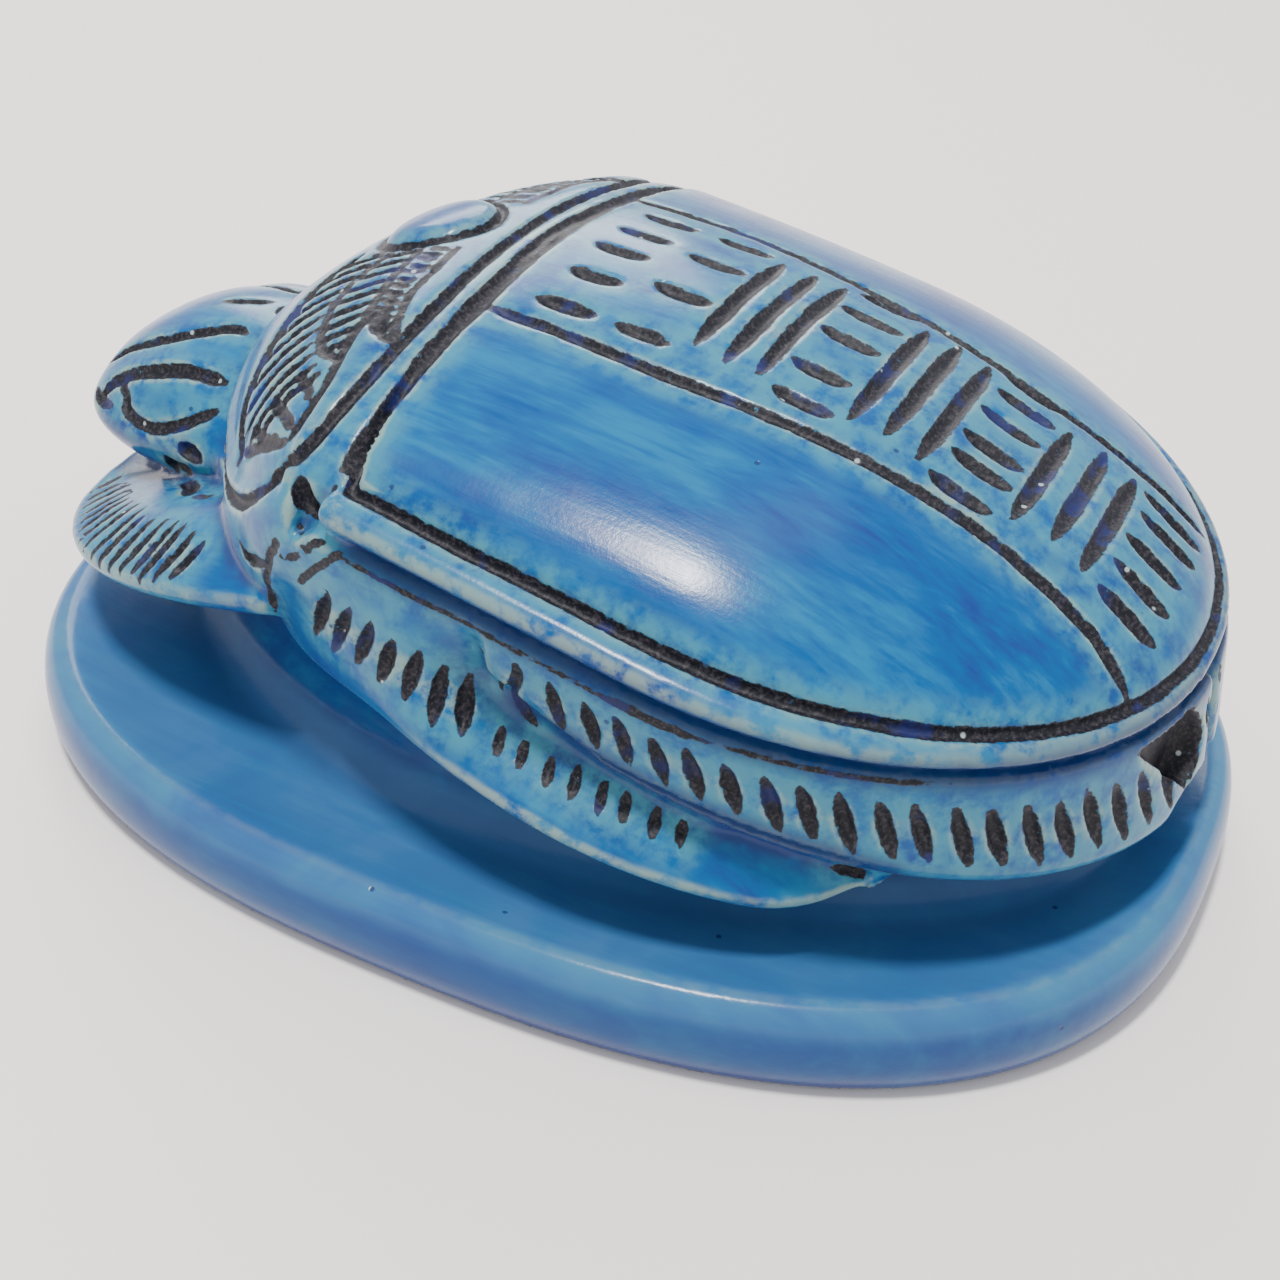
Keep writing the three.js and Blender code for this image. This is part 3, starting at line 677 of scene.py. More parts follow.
backLines = {
    "border": 1.0, "borderOut": 0.25, "lift": 0.2, "front": 1.15, "panel": 1.0, "loop": 1.1,
    "discRing": 0.85, "discOut": 0.55, "frontHalf": 27.5, "taper": 2.5, "seat": 0.1, "tailThin": 0.85,
    "thinFrom": 20, "thinTo": 45,
    "panelNear": [(11.2, -8.5), (11.5, 4.6), (11.2, 12.1), (10.6, 20.9), (10.1, 30.0), (10.5, 37.9),
                  (11.1, 40.4), (11.5, 42.0)],
    "panelFar": [(-11.6, -8.6), (-11.6, 3.1), (-9.6, 16.0), (-8.7, 24.5), (-8.6, 32.8), (-9.1, 39.6),
                 (-9.4, 42.0)],
    "shieldFlank": [(25.9, -12.8, 35.1), (26.7, -14.7, 33.0), (27.2, -16.5, 31.2), (26.7, -19.1, 29.1),
                    (24.6, -23.3, 27.2), (23.2, -25.6, 26.6), (21.8, -27.3, 26.6)],
    "collar": [(0, -11.6), (6, -11.5), (12, -11.3), (18, -11.4), (23.0, -11.9)],
    "underRim": (1.6, 1.7), "rimInside": 19.4}


def backGuides():
    lines = []
    x = np.linspace(-backLines["frontHalf"], backLines["frontHalf"], 111)
    front = stack(x, -case["front"] - case["bow"] * x * x, caseTop(x, -case["front"]) + backLines["lift"])
    lines.append((front, np.full(len(x), backLines["front"])))
    edge = caseHalfOutline(backLines["borderOut"])
    edge = edge[edge[:, 1] > -case["front"] - 0.3]
    for side in (1, -1):
        spots = over(lambda x, y: borderZ(y), edge, backLines["seat"]) * [side, 1, 1]
        thinning = ease(edge[:, 1], backLines["thinFrom"], backLines["thinTo"])
        lines.append((spots, backLines["border"] * mix(1.0, backLines["tailThin"], thinning)))
    for name in ("panelNear", "panelFar"):
        lines.append(stroke(over(caseTop, backLines[name]), backLines["panel"], backLines["taper"]))
    rear = over(collarTop, backLines["collar"])
    flank = np.array(backLines["shieldFlank"])
    out, down = backLines["underRim"]
    ahead = shieldHalfOutline(out)
    ahead = ahead[(ahead[:, 0] < backLines["rimInside"]) & (ahead[:, 1] < -shield["flankRear"])][::-4]
    ahead = withHeight(ahead, shieldEdge(ahead[:, 1]) - down)
    half = smoothLine(np.vstack([rear, flank, ahead]))
    loop = np.vstack([half, mirrored(half[1:-1][::-1])])
    lines.append(ring(loop, backLines["loop"]))
    turn = fullTurn(60)
    reach = disc["radius"] + backLines["discOut"]
    foot = np.column_stack([np.cos(turn) * reach, -disc["place"] + np.sin(turn) * reach])
    lines.append(ring(over(shieldTop, foot, backLines["seat"]), backLines["discRing"]))
    return lines


# Outlines of the two wings beside the disc, with their dark tips and the hanging leaves

wing = {
    "front": [(3.2, -24.2), (5.9, -25.6), (8.7, -26.0), (12.3, -25.8), (15.6, -25.6), (18.0, -25.1),
              (19.8, -24.2), (21.4, -22.9), (22.2, -22.1)],
    "middle": [(5.0, -20.0), (7.8, -20.6), (10.6, -20.8), (13.3, -20.3), (16.2, -19.1), (18.2, -17.5),
               (19.4, -15.4)],
    "rear": [(25.4, -15.3), (24.0, -14.8), (22.1, -14.7), (19.7, -15.1), (16.9, -15.7), (14.6, -15.7)],
    "bandTop": [(4.8, -17.4), (8.0, -17.2), (10.8, -16.8), (13.6, -16.2), (15.6, -15.8)],
    "bandLow": [(4.4, -14.4), (8.2, -14.1), (12.1, -13.9), (15.3, -12.9), (16.9, -12.2), (17.2, -12.8),
                (15.4, -14.8)],
    "shoulder": [(4.4, -22.2), (5.6, -21.0)], "root": [(4.9, -18.8), (6.4, -18.6)],
    "tip": [(22.2, -22.0), (23.4, -20.4), (24.6, -18.1), (25.5, -15.4)],
    "widths": {"front": 1.7, "middle": 0.8, "rear": 0.9, "bandTop": 0.7, "bandLow": 0.65, "shoulder": 1.1,
               "root": 0.9, "tip": 0.9}}
wingTipMarks = [
    ([(21.4, -23.2), (22.2, -22.7)], 0.8), ([(15.4, -14.7), (16.8, -13.2)], 1.5),
    ([(20.9, -20.2), (23.2, -17.4), (24.6, -15.6)], 0.95),
    ([(21.7, -21.4), (23.8, -18.9), (25.0, -16.6)], 0.85),
    ([(20.2, -18.2), (21.6, -16.4), (22.8, -15.4)], 0.85)]


def wingGuides():
    lines = []
    for side in (1, -1):
        for name, width in wing["widths"].items():
            spots, swell = stroke(over(shieldTop, wing[name]), width, 0.8)
            lines.append((spots * [side, 1, 1], swell))
        for points, width in wingTipMarks:
            lines.append(stroke(over(shieldTop, points) * [side, 1, 1], width, 0.6))
    return lines


# Lines of the head: ridges, eyelids and the creases beside it

headLines = [
    ([(6.9, -48.6, 22.4), (6.5, -47.0, 24.0), (6.1, -42.6, 26.2), (5.0, -39.1, 27.5), (4.2, -36.9, 28.1),
      (4.7, -35.3, 28.6)], 1.15, 1.5),
    ([(11.0, -46.8, 21.6), (10.1, -45.7, 22.9), (9.8, -43.7, 24.2), (9.5, -39.9, 25.6), (9.2, -37.1, 26.1),
      (9.4, -33.9, 26.4)], 1.3, 1.6),
    ([(10.9, -43.0, 23.2), (11.8, -42.8, 22.3), (12.5, -41.3, 21.9), (12.8, -39.1, 21.9), (12.2, -36.4, 22.9),
      (11.1, -33.6, 24.6)], 0.95, 1.0),
    ([(10.2, -44.6, 23.7), (11.2, -43.0, 22.9)], 0.7, 0.5),
    ([(9.6, -48.0, 21.5), (11.1, -46.4, 21.6), (11.7, -44.4, 21.9)], 0.9, 1.0),
    ([(13.2, -37.9, 19.8), (13.1, -36.4, 18.9), (15.2, -33.6, 19.4), (18.4, -30.8, 20.9)], 1.3, 1.5),
    ([(13.6, -36.4, 21.6), (14.3, -33.9, 20.8)], 1.6, 0.8),
    ([(19.6, -28.2, 26.6), (18.9, -29.6, 23.4), (18.6, -30.3, 21.2)], 0.8, 0.8)]
browMarks = [
    ([(0.4, -41.2, 27.9), (0, -38.4, 28.3), (-0.6, -36.2, 28.6)], 0.9),
    ([(-0.2, -35.2, 28.8), (1.4, -34.0, 29.0)], 1.5)]

# Creases and scratches at the sides

sideLines = [
    ([(28.9, 5.6, 26.8), (28.7, 5.8, 25.5), (28.3, 4.7, 22.9), (28.1, 5.1, 21.3), (28.3, 6.3, 20.2)],
      0.85, 1.0),
    ([(28.6, 2.4, 26.4), (28.6, 3.2, 25.1), (28.1, 3.5, 22.2)], 0.4, 1.0),
    ([(28.4, -12.4, 30.6), (27.8, -14.2, 27.6), (27.2, -15.8, 24.4), (26.4, -16.8, 20.8)], 0.6, 1.5),
    ([(27.6, -12.6, 33.8), (28.0, -12.0, 32.2), (28.6, -10.9, 31.6)], 1.5, 0.8),
    ([(28.8, -13.2, 27.9), (28.6, -11.5, 29.1), (30.2, -9.2, 31.2)], 0.5, 1.0),
    ([(28.4, -12.2, 26.0), (28.6, -10.2, 28.3), (30.4, -7.6, 30.9)], 0.5, 1.0),
    ([(27.2, -19.6, 25.7), (27.5, -18.0, 25.0), (28.4, -15.4, 26.4)], 1.1, 1.4),
    ([(28.1, -9.4, 34.4), (28.4, -9.3, 33.8)], 0.9, 0.3),
    ([(24.6, 27.4, 14.6), (24.0, 28.6, 14.2), (22.8, 30.4, 13.8)], 0.7, 0.8),
    ([(13.1, -37.9, 19.6), (12.4, -37.6, 17.8)], 1.2, 0.6)]
# Dark lines along the top of the legs, under the bead: partly a real dark line and partly painted shade along
# the ledge
ledgeLines = [
    (midFace, 0.19, 0.5, 0.03, 0.26), (hindFace, 0.05, 0.13, 0.06, 0.26),
    (hindFace, 0.12, 0.25, 0.07, 0.55), (hindFace, 0.25, 0.52, 0.04, 0.26)]
tailEndMarks = [
    ([(0.6, 46.6, 22.0), (0.0, 46.9, 19.4)], 0.7), ([(-1.2, 46.5, 22.4), (-1.8, 46.9, 20.4)], 0.6),
    ([(2.2, 46.4, 21.6), (1.4, 47.0, 18.6)], 0.8)]

# Creases under the bead, and under the hind leg where it lies on the middle one: their dark navy is painted
# shade together with pooled glaze
creases = {
    "cove": 0.9, "coveOut": 1.45, "coveDown": 2.75, "hindEdge": 1.3, "hindDown": 0.9, "hindFirst": 0.02,
    "hindLast": 0.47, "hindIn": 0.2, "hindTaper": 5.0, "ledgeTaper": 2.5}


def ledgeGuides():
    lines = []
    for face, first, last, v, width in ledgeLines:
        share = np.linspace(first, last, 60)
        points = face(share, share * 0 + v)
        for side in (1, -1):
            lines.append(stroke(points[::3] * [side, 1, 1], width, creases["ledgeTaper"]))
    return lines


def creaseGuides():
    lines = []
    edge = caseHalfOutline(creases["coveOut"])
    edge = edge[edge[:, 1] > -case["front"] + 0.6]
    cove = withHeight(edge, borderZ(edge[:, 1]) - creases["coveDown"] * beadShare(edge[:, 1]))
    share = np.linspace(creases["hindFirst"], creases["hindLast"], 60)
    under = hindFace(share, share * 0 + 1.0) - [creases["hindIn"], 0, creases["hindDown"]]
    for side in (1, -1):
        lines.append((cove * [side, 1, 1], np.full(len(cove), creases["cove"])))
        lines.append(stroke(under[::3] * [side, 1, 1], creases["hindEdge"], creases["hindTaper"]))
    return lines


def bothSides(rows):
    lines = []
    for points, width, taper in rows:
        for side in (1, -1):
            lines.append(stroke(np.asarray(points) * [side, 1, 1], width, taper))
    return lines


# Geometry Nodes trees: a carved line follows its guide over the skin, a row fills the band between two guides

print("carving trees")


def feed(tree, socket, source):
    if isinstance(source, bpy.types.NodeSocket):
        tree.links.new(source, socket)
    else:
        socket.default_value = source


def addNode(tree, kind, links=None, **settings):
    made = tree.nodes.new(kind)
    for key, value in settings.items():
        setattr(made, key, value)
    for label, source in (links or {}).items():
        feed(tree, next(s for s in made.inputs if label in (s.identifier, s.name) and s.enabled), source)
    return made


def geo(tree, kind, links=None, **settings):
    return addNode(tree, "GeometryNode" + kind, links, **settings)


def newTree(name, sockets):
    tree = bpy.data.node_groups.new(name, "GeometryNodeTree")
    tree.interface.new_socket("Geometry", in_out="INPUT", socket_type="NodeSocketGeometry")
    for label, kind in sockets.items():
        tree.interface.new_socket(label, in_out="INPUT", socket_type="NodeSocket" + kind)
    tree.interface.new_socket("Geometry", in_out="OUTPUT", socket_type="NodeSocketGeometry")
    return tree, tree.nodes.new("NodeGroupInput"), tree.nodes.new("NodeGroupOutput")


def calc(tree, operation, a, b=0.0, c=0.0):
    made = addNode(tree, "ShaderNodeMath", operation=operation)
    for socket, source in zip(made.inputs, (a, b, c)):
        feed(tree, socket, source)
    return made.outputs[0]


sweepInputs = {
    "Body": "Object", "Width": "Float", "Depth": "Float", "Waver": "Float", "Uneven": "Float",
    "Seed": "Int", "Material": "Material"}
sweep = {"driftScale": 230.0, "driftDetail": 2.0, "sides": 8}


def sweepAlong(tree, start, end, curve):  # seats a curve on the body and sweeps an oval along it
    give = start.outputs
    body = geo(tree, "ObjectInfo", {"Object": give["Body"]}).outputs["Geometry"]
    links = {"W": give["Seed"], "Scale": sweep["driftScale"], "Detail": sweep["driftDetail"]}
    drift = addNode(tree, "ShaderNodeTexNoise", links, noise_dimensions="4D")
    centred = addNode(tree, "ShaderNodeVectorMath", {"Vector": drift.outputs["Color"]}, operation="SUBTRACT")
    centred.inputs[1].default_value = (0.5, 0.5, 0.5)
    shift = addNode(tree, "ShaderNodeVectorMath", {"Vector": centred.outputs[0], "Scale": give["Waver"]},
                    operation="SCALE")
    wavered = geo(tree, "SetPosition", {"Geometry": curve, "Offset": shift.outputs[0]})
    near = geo(tree, "Proximity", {"Target": body}, target_element="FACES")
    seated = geo(tree, "SetPosition", {"Geometry": wavered.outputs[0],
                                                       "Position": near.outputs["Position"]})
    faceNormal = geo(tree, "InputNormal").outputs["Normal"]
    lay = geo(tree, "SampleNearestSurface", {"Mesh": body, "Value": faceNormal},
                  data_type="FLOAT_VECTOR")
    stored = geo(tree, "StoreNamedAttribute", {"Geometry": seated.outputs[0], "Name": "lay",
                                                               "Value": lay.outputs["Value"]},
                     data_type="FLOAT_VECTOR", domain="POINT")
    up = geo(tree, "InputNamedAttribute", {"Name": "lay"}, data_type="FLOAT_VECTOR")
    turned = geo(tree, "SetCurveNormal", {"Curve": stored.outputs[0]}, mode="FREE")
    tree.links.new(up.outputs["Attribute"], turned.inputs["Normal"])
    circle = geo(tree, "CurvePrimitiveCircle", {"Resolution": sweep["sides"], "Radius": 1.0}, mode="RADIUS")
    halfWidth = calc(tree, "MULTIPLY", give["Width"], 0.5)
    size = addNode(tree, "ShaderNodeCombineXYZ", {"X": give["Depth"], "Y": halfWidth, "Z": 1.0})
    oval = geo(tree, "Transform", {"Geometry": circle.outputs["Curve"], "Scale": size.outputs[0]})
    swell = geo(tree, "InputNamedAttribute", {"Name": "swell"}, data_type="FLOAT")
    grain = calc(tree, "SUBTRACT", drift.outputs["Fac"], 0.5)
    vary = calc(tree, "MULTIPLY_ADD", grain, give["Uneven"], 1.0)
    thick = calc(tree, "MULTIPLY", swell.outputs["Attribute"], vary)
    swept = geo(tree, "CurveToMesh", {"Curve": turned.outputs[0], "Profile Curve": oval.outputs[0],
                                                      "Scale": thick, "Fill Caps": True})
    real = geo(tree, "RealizeInstances", {"Geometry": swept.outputs[0]})
    painted = geo(tree, "SetMaterial", {"Geometry": real.outputs[0], "Material": give["Material"]})
    tree.links.new(painted.outputs[0], end.inputs["Geometry"])


def makeLineTree():
    tree, start, end = newTree("carvedLine", sweepInputs)
    curve = geo(tree, "MeshToCurve", {"Mesh": start.outputs["Geometry"]})
    sweepAlong(tree, start, end, curve.outputs[0])
    return tree


def makeRowTree():  # strokes from one guide to the other, evenly shared out along both
    floats = {name: "Float" for name in ("Spread", "Ragged", "Bend", "Blunt", "Grow")}
    tree, start, end = newTree("carvedRow", {"Upper": "Object", "Lower": "Object", "Count": "Int",
                                             "Steps": "Int", **floats, **sweepInputs})
    give = start.outputs

    def random(low, high, salt):
        seed = calc(tree, "ADD", give["Seed"], salt)
        links = {"Seed": seed, "Min": low, "Max": high}
        made = addNode(tree, "FunctionNodeRandomValue", links, data_type="FLOAT")
        return next(o for o in made.outputs if o.enabled)

    def keep(geometry, name, value):
        return geo(tree, "StoreNamedAttribute", {"Geometry": geometry, "Name": name, "Value": value},
                       data_type="FLOAT", domain="POINT").outputs[0]

    def read(name):
        return geo(tree, "InputNamedAttribute", {"Name": name}, data_type="FLOAT").outputs["Attribute"]

    points = geo(tree, "MeshLine", {"Count": give["Count"], "Offset": (0, 0, 0)}, mode="OFFSET")
    index = geo(tree, "InputIndex").outputs[0]
    even = calc(tree, "DIVIDE", index, calc(tree, "SUBTRACT", give["Count"], 1.0))
    stray = calc(tree, "MULTIPLY", random(-0.5, 0.5, 1), give["Spread"])
    points = keep(points.outputs[0], "share", calc(tree, "ADD", even, stray))
    points = keep(points, "first", random(0.0, give["Ragged"], 2))
    points = keep(points, "last", calc(tree, "SUBTRACT", 1.0, random(0.0, give["Ragged"], 3)))
    unit = geo(tree, "CurvePrimitiveLine", {"Start": (0, 0, 0), "End": (1, 0, 0)})
    unit = geo(tree, "ResampleCurve", {"Curve": unit.outputs[0], "Count": give["Steps"]})
    laid = geo(tree, "InstanceOnPoints", {"Points": points, "Instance": unit.outputs[0]})
    curve = geo(tree, "RealizeInstances", {"Geometry": laid.outputs[0]}).outputs[0]
    place = geo(tree, "InputPosition").outputs[0]
    t = addNode(tree, "ShaderNodeSeparateXYZ", {"Vector": place}).outputs["X"]
    curve = keep(curve, "t", t)
    t = read("t")
    along = calc(tree, "MULTIPLY_ADD", t, calc(tree, "SUBTRACT", read("last"), read("first")), read("first"))
    bow = calc(tree, "MULTIPLY", calc(tree, "MULTIPLY", t, calc(tree, "SUBTRACT", 1.0, t)), 4.0)
    factor = calc(tree, "MULTIPLY_ADD", bow, give["Bend"], read("share"))
    ends = []
    for name in ("Upper", "Lower"):
        guide = geo(tree, "ObjectInfo", {"Object": give[name]}).outputs["Geometry"]
        path = geo(tree, "MeshToCurve", {"Mesh": guide}).outputs[0]
        sample = geo(tree, "SampleCurve", {"Curves": path, "Factor": factor, "Curve Index": 0},
                         mode="FACTOR")
        ends.append(sample.outputs["Position"])
    spot = addNode(tree, "ShaderNodeMix", {"Factor_Float": along, "A_Vector": ends[0], "B_Vector": ends[1]},
                   data_type="VECTOR", factor_mode="UNIFORM")
    spot = next(o for o in spot.outputs if o.enabled)
    away = calc(tree, "ABSOLUTE", calc(tree, "MULTIPLY_ADD", t, 2.0, -1.0))
    body = calc(tree, "MAXIMUM", calc(tree, "SUBTRACT", 1.0, calc(tree, "POWER", away, give["Blunt"])), 0.15)
    grow = calc(tree, "MULTIPLY_ADD", read("share"), give["Grow"], 1.0)
    curve = keep(curve, "swell", calc(tree, "MULTIPLY", body, grow))
    placed = geo(tree, "SetPosition", {"Geometry": curve, "Position": spot})
    sweepAlong(tree, start, end, placed.outputs[0])
    return tree


lineTree = makeLineTree()
rowTree = makeRowTree()
inkSlip = bpy.data.materials.new("inkSlip")
seeds = {"notches": 20, "ribs": 30, "feathers": 40, "strokes": 50}
inked = []
# Crease cutters: nearness to them is painted as shade together with pooled glaze
shadeAndPoolCutters = []


def carve(holder, tree, body, seed, width, depth, waver=0.25, uneven=0.5, into=inked, **more):
    modifier = holder.modifiers.new("carve", "NODES")
    modifier.node_group = tree
    values = {"Body": body, "Width": width * mm, "Depth": depth * mm, "Waver": waver * mm, "Uneven": uneven,
              "Seed": seed, "Material": inkSlip, **more}
    for item in tree.interface.items_tree:
        if item.item_type == "SOCKET" and item.in_out == "INPUT" and item.name in values:
            modifier[item.identifier] = values[item.name]
    applied(holder)
    into.append(holder)


def carveLines(name, lines, depth, seed, **more):
    carve(guideObject(name, lines), lineTree, scarab, seed, 1.0, depth, **more)


usualRow = {"count": 3, "steps": 8, "spread": 0.01, "ragged": 0.1, "bend": 0.0, "blunt": 3.0, "grow": 0.0}


def carveRow(name, upper, lower, seed, row):
    pair = [guideObject(name + end, [(spots, np.ones(len(spots)))]) for end, spots in
            (("Upper", smoothLine(upper)), ("Lower", smoothLine(lower)))]
    holder = addObject(name, bpy.data.meshes.new(name))
    settings = {name.capitalize(): row.get(name, usual) for name, usual in usualRow.items()}
    carve(holder, rowTree, scarab, seed, row["width"], row["depth"], Upper=pair[0], Lower=pair[1], **settings)
    for guide in pair:
        bpy.data.objects.remove(guide)


# Rows: notches of the legs, ribs of the forelegs, feathers of the wings and strokes of the panel

legRows = [
    {"face": hindFace, "count": 20, "upper": (0.075, 0.885, 0.24), "lower": (0.089, 0.928, 0.95),
     "width": 1.12, "depth": 0.75, "spread": 0.008, "ragged": 0.07, "blunt": 2.6},
    {"face": midFace, "count": 7, "upper": (0.185, 0.368, 0.28, 0.42),
     "lower": (0.125, 0.376, 0.80, 0.86), "width": 1.15, "depth": 0.75, "spread": 0.01, "ragged": 0.12,
     "blunt": 2.4},
    {"face": midFace, "count": 8, "upper": (0.411, 0.687, 0.7), "lower": (0.419, 0.694, 0.86),
     "width": 0.72, "depth": 0.5, "spread": 0.02, "ragged": 0.1, "blunt": 2.6}]
ribRow = {
    "count": 16, "width": 0.5, "depth": 0.45, "spread": 0.02, "ragged": 0.08, "blunt": 3.0, "grow": 0.6,
    "upper": [(11.0, -44.6, 14.8), (13.9, -40.9, 16.1), (18.2, -36.1, 18.5), (19.3, -34.1, 19.4),
              (21.2, -30.7, 20.8), (21.8, -28.6, 21.7), (22.9, -26.6, 22.4), (24.4, -24.3, 22.8)],
    "lower": [(15.4, -45.0, 14.9), (20.0, -42.2, 15.6), (22.8, -39.6, 15.9), (25.1, -36.6, 16.0),
              (25.8, -34.2, 16.6), (26.4, -31.8, 17.4), (26.8, -29.6, 18.0),
              (26.8, -27.7, 18.5), (26.7, -26.2, 19.2)]}
featherRows = [
    {"count": 11, "width": 0.92, "depth": 0.6, "spread": 0.012, "ragged": 0.0, "blunt": 6.0, "bend": -0.03,
     "upper": [(5.6, -20.4), (10.6, -21.0), (13.5, -20.5), (16.4, -19.4), (18.6, -17.7), (20.4, -15.6)],
     "lower": [(5.4, -25.4), (10.4, -25.8), (14.8, -25.4), (19.3, -24.2), (21.8, -22.2), (23.8, -19.6)]},
    {"count": 10, "width": 0.8, "depth": 0.5, "spread": 0.015, "ragged": 0.0, "blunt": 6.0, "bend": 0.02,
     "upper": [(5.4, -17.6), (10.4, -17.0), (13.4, -16.6), (16.4, -16.0), (18.8, -15.2)],
     "lower": [(6.0, -20.4), (10.7, -20.7), (13.6, -20.1), (16.6, -18.9), (19.2, -16.2)]},
    {"count": 12, "width": 0.75, "depth": 0.4, "spread": 0.03, "ragged": 0.08, "blunt": 3.0, "bend": 0.01,
     "upper": [(5.2, -17.0), (9.0, -16.8), (12.0, -16.3), (15.4, -15.6)],
     "lower": [(5.2, -14.7), (9.0, -14.5), (12.4, -14.1), (16.0, -13.0)]}]
strokeRows = {
    "first": -5.6, "pitch": 6.1, "length": 5.2, "strokes": (5, 4, 3, 5, 3, 6, 4, 5), "across": (2, 4, 6),
    "half": 8.6, "narrowing": 2.0, "width": 1.35, "depth": 0.62, "spread": 0.05, "ragged": 0.09,
    "blunt": 5.0, "steps": 12, "bend": 0.02}


def carveLegRows():
    for number, row in enumerate(legRows):
        for side in (1, -1):
            bands = []
            for first, last, *levels in (row["upper"], row["lower"]):
                share = np.linspace(first, last, 40)
                bands.append(row["face"](share, np.linspace(levels[0], levels[-1], 40)) * [side, 1, 1])
            carveRow("notches", *bands, seeds["notches"] + number * 2 + side, row)


def carvePanelStrokes():  # plain strokes of uneven length, some rows along the back and some across it
    for number, count in enumerate(strokeRows["strokes"]):
        near = strokeRows["first"] + number * strokeRows["pitch"]
        far = near + strokeRows["length"]
        half = strokeRows["half"] - ease(near, 20, 42) * strokeRows["narrowing"]
        left, right = -half, half
        if number in strokeRows["across"]:
            ends = [[(left, near), (left, far)], [(right, near), (right, far)]]
            count = 3
        else:
            ends = [[(left, near), (right, near)], [(left, far), (right, far)]]
        upper, lower = (over(caseTop, points) for points in ends)
        carveRow("strokes", upper, lower, seeds["strokes"] + number, {**strokeRows, "count": count})


hollow = {
    "levels": (15.9, 16.8, 18.8, 20.6, 22.6), "near": (5.4, 6.4, 8.4, 10.2, 12.2),
    "far": (4.4, 3.2, 2.6, 3.4, 5.2), "deep": 2.8}


def tailHollow():  # slanting recess between the ends of the hind legs
    rings = []
    turn = fullTurn(40)
    across = np.sign(np.cos(turn)) * np.abs(np.cos(turn)) ** 0.6
    for z in np.linspace(hollow["levels"][0], hollow["levels"][-1], 16):
        near, far = (np.interp(z, hollow["levels"], hollow[side]) for side in ("near", "far"))
        x = (near + far) / 2 + across * (near - far) / 2
        length = hind["tail"] - case["shoulder"]
        surface = case["shoulder"] + length * roundOff(x / hind["halfWidth"], case["roundness"])
        y = surface + np.sign(np.sin(turn)) * np.abs(np.sin(turn)) ** 0.5 * hollow["deep"]
        rings.append(stack(x, y, z))
    return loft(rings)


print("carving")
carveLines("backLines", backGuides(), 0.62, 3)
carveLines("wingLines", wingGuides(), 0.5, 4)
brows = [stroke(points, width) for points, width in browMarks]
carveLines("headLines", bothSides(headLines) + brows, 0.55, 5)
carveLines("sideLines", bothSides(sideLines), 0.6, 6, waver=0.3)
carveLines("ledgeLines", ledgeGuides(), 0.6, 7, waver=0.12, uneven=0.8)
carveLines("tailMarks", [stroke(points, width, 1.0) for points, width in tailEndMarks], 0.6, 8)
carveLines("creases", creaseGuides(), 0.85, 9, waver=0.12, uneven=0.2, into=shadeAndPoolCutters)
carveLegRows()
for side in (1, -1):
    bands = [np.array(ribRow[name]) * [side, 1, 1] for name in ("upper", "lower")]
    carveRow("ribs", *bands, seeds["ribs"] + side, ribRow)
    for number, row in enumerate(featherRows):
        bands = [over(shieldTop, row[name]) * [side, 1, 1] for name in ("upper", "lower")]
        carveRow("feathers", *bands, seeds["feathers"] + number * 3 + side, row)
carvePanelStrokes()


# The cutters become one closed form, which is taken out of the skin; then the glaze softens what is left

finish = {
    "cutterVoxel": 0.16, "voxel": 0.27, "soften": 2,
    "faces": 192000,
    "broadRounds": 75, "fineRounds": 9}


def joinMeshes(name, holders, extra=()):
    shells = []
    for holder in holders:
        mesh = holder.data
        shells.append((readPoints(mesh) / mm, [tuple(p.vertices) for p in mesh.polygons]))
    made = addObject(name, meshFrom(name, shells + list(extra)))
    for holder in holders:
        bpy.data.objects.remove(holder)
    return made


carving = joinMeshes("carving", inked, [tailHollow()])
creasing = joinMeshes("creasing", shadeAndPoolCutters)
for cutter in (carving, creasing):
    fuseSkin(cutter, finish["cutterVoxel"])
print("carving has", len(carving.data.vertices), "points")


def takeOut(made, cutter):
    cut = made.modifiers.new("cut", "BOOLEAN")
    cut.operation = "DIFFERENCE"
    cut.solver = "MANIFOLD"
    cut.object = cutter
    return applied(made)


def thinOut(made, faces):
    count = sum(len(p.vertices) - 2 for p in made.data.polygons)
    if count > faces:
        thin = made.modifiers.new("thin", "DECIMATE")
        thin.ratio = faces / count
        applied(made)


def nearestValues(fromPoints, values, toPoints):
    tree = KDTree(len(fromPoints))
    for i, p in enumerate(fromPoints):
        tree.insert(p, i)
    tree.balance()
    return values[[tree.find(p)[1] for p in toPoints]]


def bulge(mesh, rounds, step=0.9):  # how far a smoothed copy lies behind the surface, in millimetres
    points = readPoints(mesh)
    moved = relax(points, readValues(mesh.edges, "vertices", 2, np.int32), rounds, step)
    return ((points - moved) * readValues(mesh.vertices, "normal", 3)).sum(axis=1) / mm


print("large hollows")
plainPoints = readPoints(scarab.data)
plainBulge = bulge(scarab.data, finish["broadRounds"])
print("cutting")
takeOut(scarab, creasing)
takeOut(scarab, carving)
print("cut skin has", len(scarab.data.vertices), "points")
fuseSkin(scarab, finish["voxel"])
softenMesh(scarab.data, finish["soften"])
edgePoints = readPoints(scarab.data)
edgeBulge = bulge(scarab.data, finish["fineRounds"])
thinOut(scarab, finish["faces"])
print("glazed skin has", len(scarab.data.vertices), "points")


def addValues(mesh, name, values):
    mesh.attributes.new(name, "FLOAT", "POINT").data.foreach_set("value", np.asarray(values, np.float32))


farGap = 4.0  # gaps aren't measured beyond this


